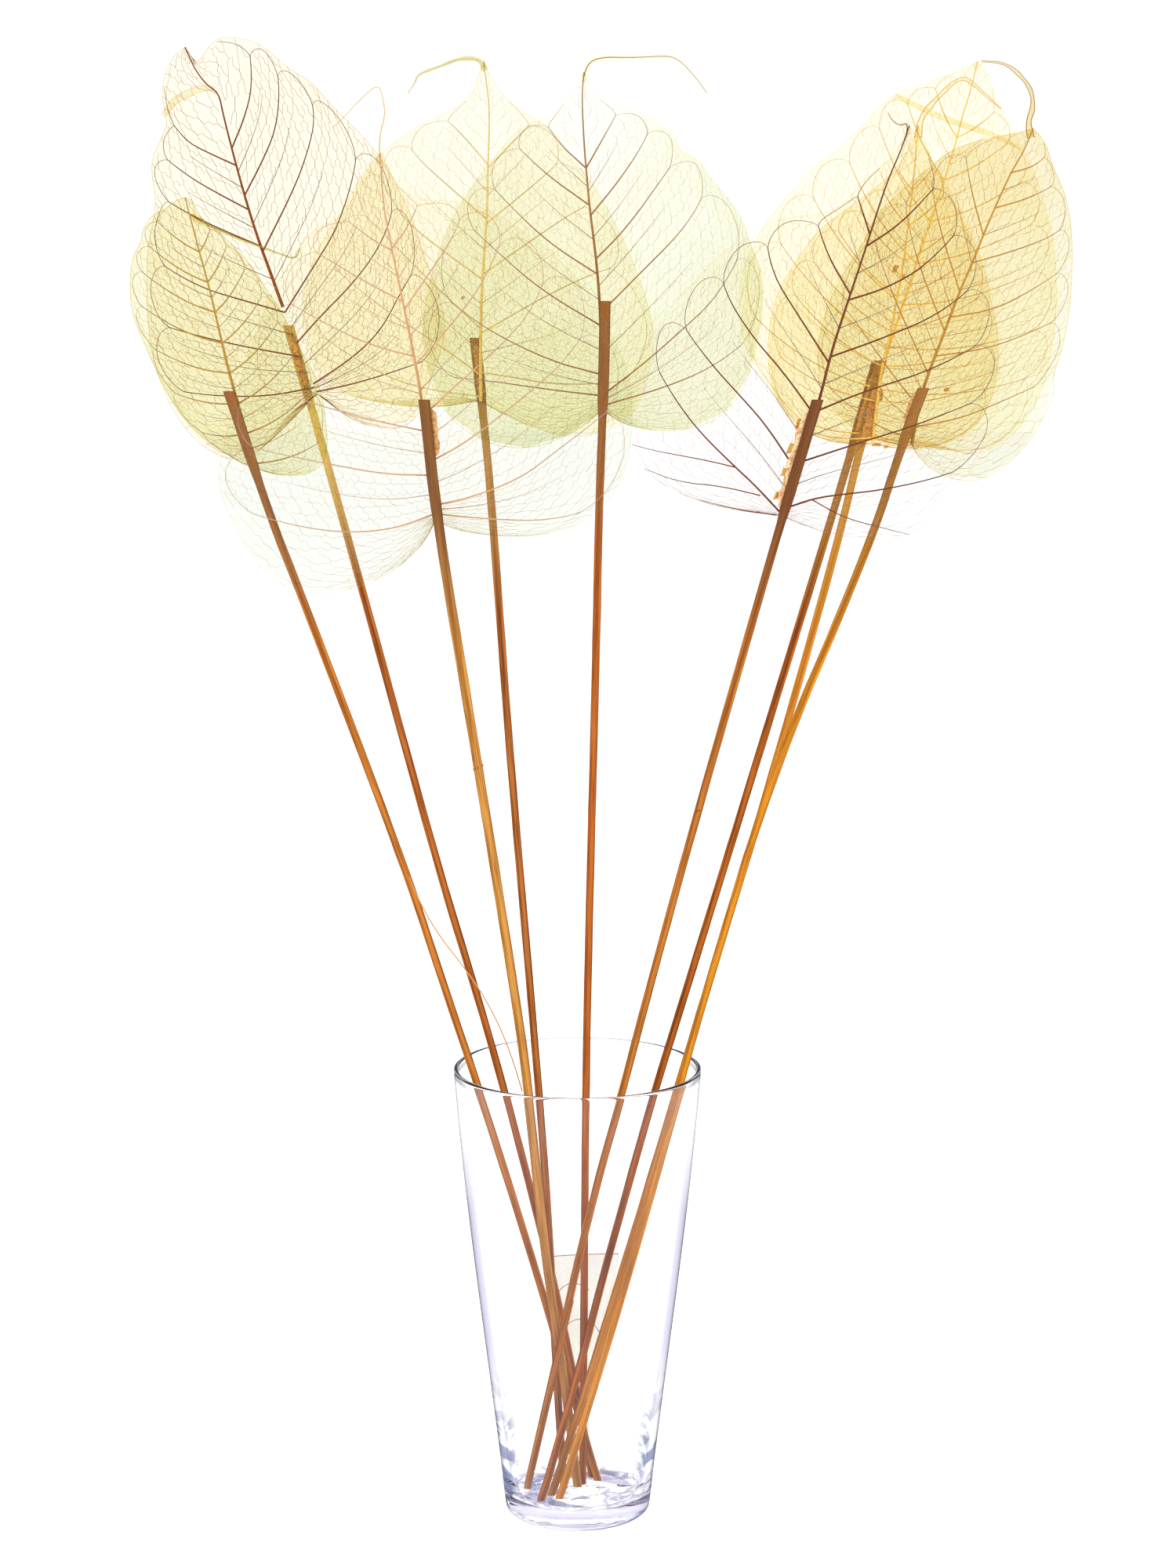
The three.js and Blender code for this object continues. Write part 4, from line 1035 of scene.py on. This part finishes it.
def dried_vein(name, midrib, side, cross):
    """Dried leaf vein: woody, matt and dark at the midrib, paler and sheer where it thins out."""
    material = bpy.data.materials.new(name)
    add = empty_tree(material)
    spot = add("TexCoord").outputs["Object"]
    thinned = add("SeparateXYZ", {"Vector": add("UVMap", uv_map="map")}).outputs["X"]
    blotch = add("TexNoise", {"Vector": spot, "Scale": 120.0, "Detail": 2.0})
    drift = add("Math", {0: blotch, 1: 0.5}, operation="SUBTRACT")
    tone = add("Math", {0: drift, 1: 0.15, 2: thinned}, operation="MULTIPLY_ADD", use_clamp=True)
    early = add("MapRange", {"Value": tone, "From Max": 0.5})
    late = add("MapRange", {"Value": tone, "From Min": 0.5})
    thick = add("Mix", {0: early, MIX_A: colour(midrib), MIX_B: colour(side)}, data_type="RGBA")
    hue = add("Mix", {0: late, MIX_A: thick, MIX_B: colour(cross)}, data_type="RGBA")
    body = add("BsdfPrincipled", {"Base Color": hue, "Roughness": 0.8, "IOR": 1.5,
                                  "Specular IOR Level": 0.0})
    through = add("BsdfTransparent", {"Color": hue})
    sheer = add("MapRange", {"Value": thinned, "From Min": 0.3, "From Max": 0.9})
    add("OutputMaterial", {"Surface": add("MixShader", {0: sheer, 1: body, 2: through})})
    return material


def split_wood(name, light, dark, top):
    """Split, unvarnished wood: fine lengthwise fibres in two tones, browner where it was glued."""
    material = bpy.data.materials.new(name)
    add = empty_tree(material)
    uv = add("UVMap", uv_map="map")
    # Across the section the map runs 0 to 1 over about 12 mm, along it runs in metres: fibres come
    # out about 0.4 mm wide and 25 mm long, and bands 2 mm wide and 80 mm long.
    fibres = add("Mapping", {"Vector": uv, "Scale": (30.0, 40.0, 1.0)})
    grain = add("TexNoise", {"Vector": fibres, "Scale": 1.0, "Detail": 3.0, "Roughness": 0.6})
    bands = add("Mapping", {"Vector": uv, "Scale": (6.0, 12.0, 1.0)})
    band = add("TexNoise", {"Vector": bands, "Scale": 1.0, "Detail": 2.0})
    tone = add("MapRange", {"Value": add("Math", {0: grain, 1: band}, operation="ADD"),
                            "From Min": 0.86, "From Max": 1.14})
    wood = add("Mix", {0: tone, MIX_A: colour(dark), MIX_B: colour(light)}, data_type="RGBA")
    down = add("SeparateXYZ", {"Vector": uv}).outputs["Y"]
    rise = add("MapRange", {"Value": down, "From Min": 0.05, "From Max": 0.12,
                            "To Min": 0.8, "To Max": 0.0})
    aged = add("Mix", {0: rise, MIX_A: wood, MIX_B: colour(top)}, data_type="RGBA")
    bump = add("Bump", {"Height": grain, "Strength": 0.4, "Distance": 0.15 * MM})
    add("OutputMaterial", {"Surface": add("BsdfPrincipled", {
        "Base Color": aged, "Normal": bump, "Roughness": 0.6, "IOR": 1.5, "Specular IOR Level": 0.1})})
    return material


def hot_melt(name, body, edge):
    """Hot-melt glue, squeezed out and set: amber, uneven and glossy."""
    material = bpy.data.materials.new(name)
    add = empty_tree(material)
    lumps = add("TexNoise", {"Vector": add("TexCoord").outputs["Object"], "Scale": 700.0,
                             "Detail": 3.0})
    tone = add("MapRange", {"Value": lumps, "From Min": 0.35, "From Max": 0.65})
    hue = add("Mix", {0: tone, MIX_A: colour(body), MIX_B: colour(edge)}, data_type="RGBA")
    bump = add("Bump", {"Height": lumps, "Strength": 0.5, "Distance": 0.3 * MM})
    add("OutputMaterial", {"Surface": add("BsdfPrincipled", {
        "Base Color": hue, "Normal": bump, "Roughness": 0.3, "IOR": 1.48})})
    return material


def blown_glass(name):
    """Clear soda-lime glass, blown and fire polished. Where the eye meets it edge on, painted shade turns
    it lavender grey, more so towards the thick foot."""
    material = bpy.data.materials.new(name)
    add = empty_tree(material)
    spot = add("TexCoord").outputs["Object"]
    height = add("SeparateXYZ", {"Vector": spot}).outputs["Z"]
    facing = add("LayerWeight", {"Blend": 0.5}).outputs["Facing"]
    # Painted edge shade: the wall's colour darkens where the eye meets it edge on.
    edge = add("MapRange", {"Value": facing, "From Min": 0.7, "From Max": 0.88},
               interpolation_type="SMOOTHERSTEP")
    # Only upright walls take the painted edge shade, not the inner floor, the underside or the top of the
    # lip.
    lean = add("SeparateXYZ", {"Vector": add("TexCoord").outputs["Normal"]})
    level = add("Math", {0: lean.outputs["Z"]}, operation="ABSOLUTE")
    upright = add("MapRange", {"Value": level, "From Min": 0.3, "From Max": 0.6,
                               "To Min": 1.0, "To Max": 0.0})
    wall = add("Math", {0: edge, 1: upright}, operation="MULTIPLY")
    # Shares of the painted edge shade: next to none under the rim, two fifths below 135 mm
    depth = add("MapRange", {"Value": height, "From Min": 0.135, "From Max": 0.165,
                             "To Min": 0.4, "To Max": 0.02})
    # Painted shade low on the sides, near the edges: dark streaks about 20 mm long and 5 mm high, up to 70
    # mm
    painted_streak_noise = add("TexNoise", {"Vector": add("Mapping", {"Vector": spot, "Scale": (45.0, 45.0, 200.0)}),
                            "Scale": 1.0, "Detail": 1.0})
    painted_streak_mask = add("MapRange", {"Value": painted_streak_noise, "From Min": 0.5, "From Max": 0.53})
    low = add("MapRange", {"Value": height, "From Min": 0.03, "From Max": 0.07,
                           "To Min": 1.0, "To Max": 0.0})
    side = add("MapRange", {"Value": facing, "From Min": 0.36, "From Max": 0.6})
    low_painted_streaks = add("Math", {0: painted_streak_mask, 1: low}, operation="MULTIPLY")
    painted_side_streaks = add("Math", {0: low_painted_streaks, 1: side}, operation="MULTIPLY")
    share = add("Math", {0: wall, 1: depth, 2: painted_side_streaks}, operation="MULTIPLY_ADD", use_clamp=True)
    # By that share the glass's colour goes from white to the painted lavender-grey shade.
    tint = add("Mix", {0: share, MIX_A: colour("#FFFFFF"), MIX_B: colour("#56608C")},
               data_type="RGBA")
    glass = add("BsdfPrincipled", {"Base Color": tint, "Roughness": 0.0, "IOR": 1.5,
                                   "Transmission Weight": 1.0})
    # The sides of the narrow lip fade against a bright backdrop: part of the light passes straight.
    lip = add("MapRange", {"Value": height, "From Min": 0.1955, "From Max": 0.1975, "To Max": 0.6})
    grazed = add("MapRange", {"Value": facing, "From Min": 0.4, "From Max": 0.7})
    ends = add("Math", {0: upright, 1: grazed}, operation="MULTIPLY")
    straight = add("Math", {0: lip, 1: ends}, operation="MULTIPLY")
    body = add("MixShader", {0: straight, 1: glass, 2: add("BsdfTransparent")})
    # Light that falls on what stands inside passes straight, whichever way it is followed.
    path = add("LightPath").outputs
    clear = add("BsdfTransparent", {"Color": (0.93, 0.93, 0.94, 1.0)})
    soft = add("MixShader", {0: path["Is Diffuse Ray"], 1: body, 2: clear})
    mixed = add("MixShader", {0: path["Is Shadow Ray"], 1: soft, 2: clear})
    held = add("VolumeAbsorption", {"Color": colour("#C4C2DC"), "Density": 5.0})
    add("OutputMaterial", {"Surface": mixed, "Volume": held})
    return material


def by_path(add, path, direct, mirrored, through):
    """What the eye and the lamps' light meet directly, and what shows in and through the glass."""
    bent = add("MixShader", {0: path["Is Transmission Ray"], 1: mirrored, 2: through})
    return add("MixShader", {0: path["Is Glossy Ray"], 1: direct, 2: bent})


def studio_white(name):
    """Matt white paper: the plain floor. In reflections and through the glass it reads as the grey
    shade that gathers round the foot, which draws the foot's edges."""
    material = bpy.data.materials.new(name)
    add = empty_tree(material)
    spot = add("TexCoord").outputs["Object"]
    bump = add("Bump", {"Height": add("TexNoise", {"Vector": spot, "Scale": 900.0}),
                        "Strength": 0.02})
    paper = add("BsdfPrincipled", {"Base Color": colour("#FBFBFB"), "Normal": bump, "Roughness": 0.9,
                                   "Emission Color": colour("#FFFFFF"), "Emission Strength": 0.3})
    reach = add("VectorMath", {0: spot}, operation="LENGTH")
    near = add("MapRange", {"Value": reach, "From Min": 0.03, "From Max": 0.05,
                            "To Min": 1.0, "To Max": 0.0})
    # Light bent by the thick foot falls on the floor in a crumpled net of folds about 8 mm across.
    folds = add("TexNoise", {"Vector": spot, "Scale": 120.0, "Detail": 3.0, "Distortion": 1.2})
    fold = add("MapRange", {"Value": folds, "From Min": 0.48, "From Max": 0.62})
    dark = add("Math", {0: near, 1: fold}, operation="MULTIPLY")
    ring = add("Mix", {0: dark, MIX_A: colour("#FFFFFF"), MIX_B: colour("#A0A0B6")},
               data_type="RGBA")
    # Light that turns round inside one wall passes two surfaces and comes from the dim floor.
    path = add("LightPath").outputs
    turned = add("Math", {0: path["Transmission Depth"], 1: 2.5}, operation="LESS_THAN")
    beyond = add("MapRange", {"Value": reach, "From Min": 0.1, "From Max": 0.2})
    dim = add("MapRange", {"Value": reach, "From Min": 0.4, "From Max": 0.58,
                           "To Min": 1.0, "To Max": 0.0})
    band = add("Math", {0: beyond, 1: dim}, operation="MULTIPLY")
    shaded = add("Math", {0: band, 1: turned}, operation="MULTIPLY")
    lit = add("Mix", {0: shaded, MIX_A: ring, MIX_B: colour("#D8D8EA")}, data_type="RGBA")
    through = add("Emission", {"Color": lit, "Strength": 1.4})
    # Mirrored it is dim near the vase and white from 0.6 m away, where the light off its edges ends.
    away = add("MapRange", {"Value": reach, "From Min": 0.4, "From Max": 0.6,
                            "To Min": 0.4, "To Max": 1.2})
    mirrored = add("Emission", {"Color": colour("#C8C4D0"), "Strength": away})
    add("OutputMaterial", {"Surface": by_path(add, path, paper, mirrored, through)})
    return material


# What each leaf looks like: film and net from base to tip, veins from midrib to the finest, and slot
LEAF_LOOKS = [
    (("#F0F0D2", "#F7F4DE"), ("#F3F1D8", "#F6F2DC"), ("#9C7234", "#B0903A", "#F6F2DE"), "leaf_green"),
    (("#FAF6E2", "#FBF8EA"), ("#F6EFE0", "#F8F2E6"), ("#86441A", "#74422A", "#EADACC"), "leaf_ivory"),
    (("#F5F9F3", "#FFFBF2"), ("#F6F8F0", "#FDF9F0"), ("#B07040", "#CCA884", "#F9F2EA"), "leaf_ivory"),
    (("#FAF7E2", "#F9F7E9"), ("#FBF9EE", "#FBF9F0"), ("#E2BE70", "#D0BE8A", "#F9F5EC"), "leaf_ivory"),
    (("#EAEDCE", "#FFFDF6"), ("#F4F5E0", "#FDFCF6"), ("#6E4A22", "#A87C4C", "#FAF7F0"), "leaf_yellow"),
    (("#FFFEFE", "#FDFAF0"), ("#FEFDFD", "#FCF9F0"), ("#6A3A24", "#6C3E28", "#FBF8F5"), "leaf_ivory"),
    (("#FDFBEA", "#FCF8E6"), ("#FDF9E8", "#FDFBF0"), ("#EAC668", "#E4C26E", "#FAF4E2"), "leaf_yellow"),
    (("#F8F2D4", "#FDF9E7"), ("#FBF6E2", "#FDF7E6"), ("#EAC668", "#DCB660", "#FAF0D8"), "leaf_amber"),
    (("#F4F6E8", "#F3EAC8"), ("#FAF8EA", "#F8F0D0"), ("#A2701E", "#BC8A3C", "#F8F0D8"), "leaf_amber"),
]
# What each stick looks like: its light fibres, its dark ones and its glued top, and the slot
STICK_LOOKS = [
    ("#C2762C", "#82450F", "#7E5230", "splint_brown"),
    ("#B86828", "#6E3409", "#D8BC6C", "splint_brown"),
    ("#C48840", "#8C5A20", "#5E3A22", "splint_tan"),
    ("#B0682C", "#6A340E", "#AA8246", "splint_brown"),
    ("#B46224", "#803E0F", "#7C5226", "splint_brown"),
    ("#B46E28", "#7C4212", "#5A3620", "splint_brown"),
    ("#B4621A", "#64300A", "#98702E", "splint_brown"),
    ("#CC862E", "#A06012", "#A87E30", "splint_golden"),
    ("#D2861E", "#94580E", "#7E5622", "splint_golden"),
]


# Studio and camera

# In metres: half the floor's side, and the spot that every lamp looks at
FLOOR_HALF_SIZE = 6.0
LAMPS_AIM = (0, 0, 0.35)
# Each lamp's name, place and size in metres, and its power in watts
LAMPS = [
    ("key", (-1.2, -1.6, 1.5), 0.9, 22.0),
    ("fill", (1.5, -1.2, 0.6), 0.8, 8.0),
    ("top", (0.4, 0.5, 2.2), 1.4, 20.0),
]


def stand(name, data):
    """An object of the studio, linked to the scene."""
    made = bpy.data.objects.new(name, data)
    bpy.context.scene.collection.objects.link(made)
    return made


def studio():
    """A white floor, even white light all round, and soft lamps for a little modelling."""
    bm = bmesh.new()
    bmesh.ops.create_grid(bm, x_segments=1, y_segments=1, size=FLOOR_HALF_SIZE)
    mesh = bpy.data.meshes.new("floor")
    bm.to_mesh(mesh)
    bm.free()
    mesh.materials.append(studio_white("white_paper"))
    floor = stand("floor", mesh)
    sky()
    for name, spot, size, power in LAMPS:
        lamp = bpy.data.lights.new(name, "AREA")
        lamp.size, lamp.energy = size, power
        hung = stand(name, lamp)
        hung.location = spot
        hung.rotation_euler = (Vector(LAMPS_AIM) - Vector(spot)).to_track_quat("-Z", "Y").to_euler()


def sky():
    """A white backdrop all round for the eye and for light. In reflections and through the glass it
    dims to lavender grey overhead, which draws the rim and the edges of the walls."""
    world = bpy.data.worlds.new("studio")
    add = empty_tree(world)
    rise = add("MapRange", {
        "Value": add("SeparateXYZ", {"Vector": add("TexCoord").outputs["Generated"]}).outputs["Z"],
        "From Min": 0.1, "From Max": 0.55})
    shade = add("Mix", {0: rise, MIX_A: colour("#FFFFFF"), MIX_B: colour("#C4BCD4")},
                data_type="RGBA")
    seen = add("Background", {"Color": colour("#FFFFFF"), "Strength": 1.1})
    light = add("Background", {"Color": colour("#FFFFFF"), "Strength": 0.8})
    mirrored = add("Background", {"Color": colour("#C4BCCC"), "Strength": 0.4})
    through = add("Background", {"Color": shade, "Strength": 1.4})
    path = add("LightPath").outputs
    whole = add("MixShader", {0: path["Is Camera Ray"], 2: seen,
                              1: by_path(add, path, light, mirrored, through)})
    add("OutputWorld", {"Surface": whole})
    bpy.context.scene.world = world


def camera():
    """The photograph's own eye point and angle of view."""
    data = bpy.data.cameras.new("eye")
    data.sensor_width = SENSOR_LONG_SIDE
    data.lens = SENSOR_LONG_SIDE * FOCAL_PIXELS / FRAME_SIZE[1]
    eye = stand("eye", data)
    eye.location = EYE * MM
    eye.rotation_euler = (math.pi / 2 - EYE_PITCH, 0, 0)
    bpy.context.scene.camera = eye


# The scene

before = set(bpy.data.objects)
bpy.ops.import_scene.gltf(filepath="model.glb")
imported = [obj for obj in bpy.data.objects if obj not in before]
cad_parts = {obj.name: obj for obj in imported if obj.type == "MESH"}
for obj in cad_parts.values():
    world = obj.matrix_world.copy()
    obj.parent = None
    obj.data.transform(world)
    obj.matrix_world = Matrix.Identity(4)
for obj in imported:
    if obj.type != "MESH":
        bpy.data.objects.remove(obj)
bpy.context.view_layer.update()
camera()
studio()
bpy.context.scene.view_settings.view_transform = "Standard"
# Light needs many turns to leave the glass lip and the thick foot.
bpy.context.scene.cycles.transparent_max_bounces = 64
bpy.context.scene.cycles.max_bounces = 32
bpy.context.scene.cycles.glossy_bounces = 24
bpy.context.scene.cycles.transmission_bounces = 32

leaves = [Leaf(table, stick, 7 * i) for i, (table, stick) in enumerate(zip(LEAVES, STICKS))]
vase(blown_glass("clear_soda_glass"), "clear_glass")
glue = hot_melt("set_hot_melt_glue", "#B9702E", "#E3B56C")
pale_glue = hot_melt("set_pale_hot_melt_glue", "#CE8A48", "#F4E2B4")
for number, (leaf, leaf_look, stick_look) in enumerate(zip(leaves, LEAF_LOOKS, STICK_LOOKS), 1):
    film_tints, net_tints, vein_tones, slot = leaf_look
    *wood_tones, stick_slot = stick_look
    film = dyed_leaf(f"dyed_leaf_film_{number}", *film_tints, cells=0.16, cover=0.005)
    net = dyed_leaf(f"dyed_leaf_net_{number}", *net_tints, cells=0.0, cover=0.02)
    leaf_film(leaf, number, film, slot)
    paths = leaf_net(leaf, number, net, slot)
    leaf_veins(leaf, number, paths, dried_vein(f"dried_vein_{number}", *vein_tones), slot)
    splint(leaf.stick, leaf, number, split_wood(f"split_wood_{number}", *wood_tones), stick_slot)
    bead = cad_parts[f"glue_{number}"]
    glue_bead(bead, number, pale_glue if number == 6 else glue, "hot_melt_glue")
straw = dried_vein("straw_fibre", "#B97A42", "#CE9A62", "#E2C08A")
scrap = dyed_leaf("dyed_scrap_film", "#E6E2D3", "#ECE9E4", cells=0.16, cover=0.005)
leaf_scrap(scrap, straw, "leaf_ivory")
flakes(leaves, dried_vein("torn_leaf", "#B97434", "#D99A50", "#F0D8A0"), "leaf_ivory")
fibre(straw, "splint_tan")
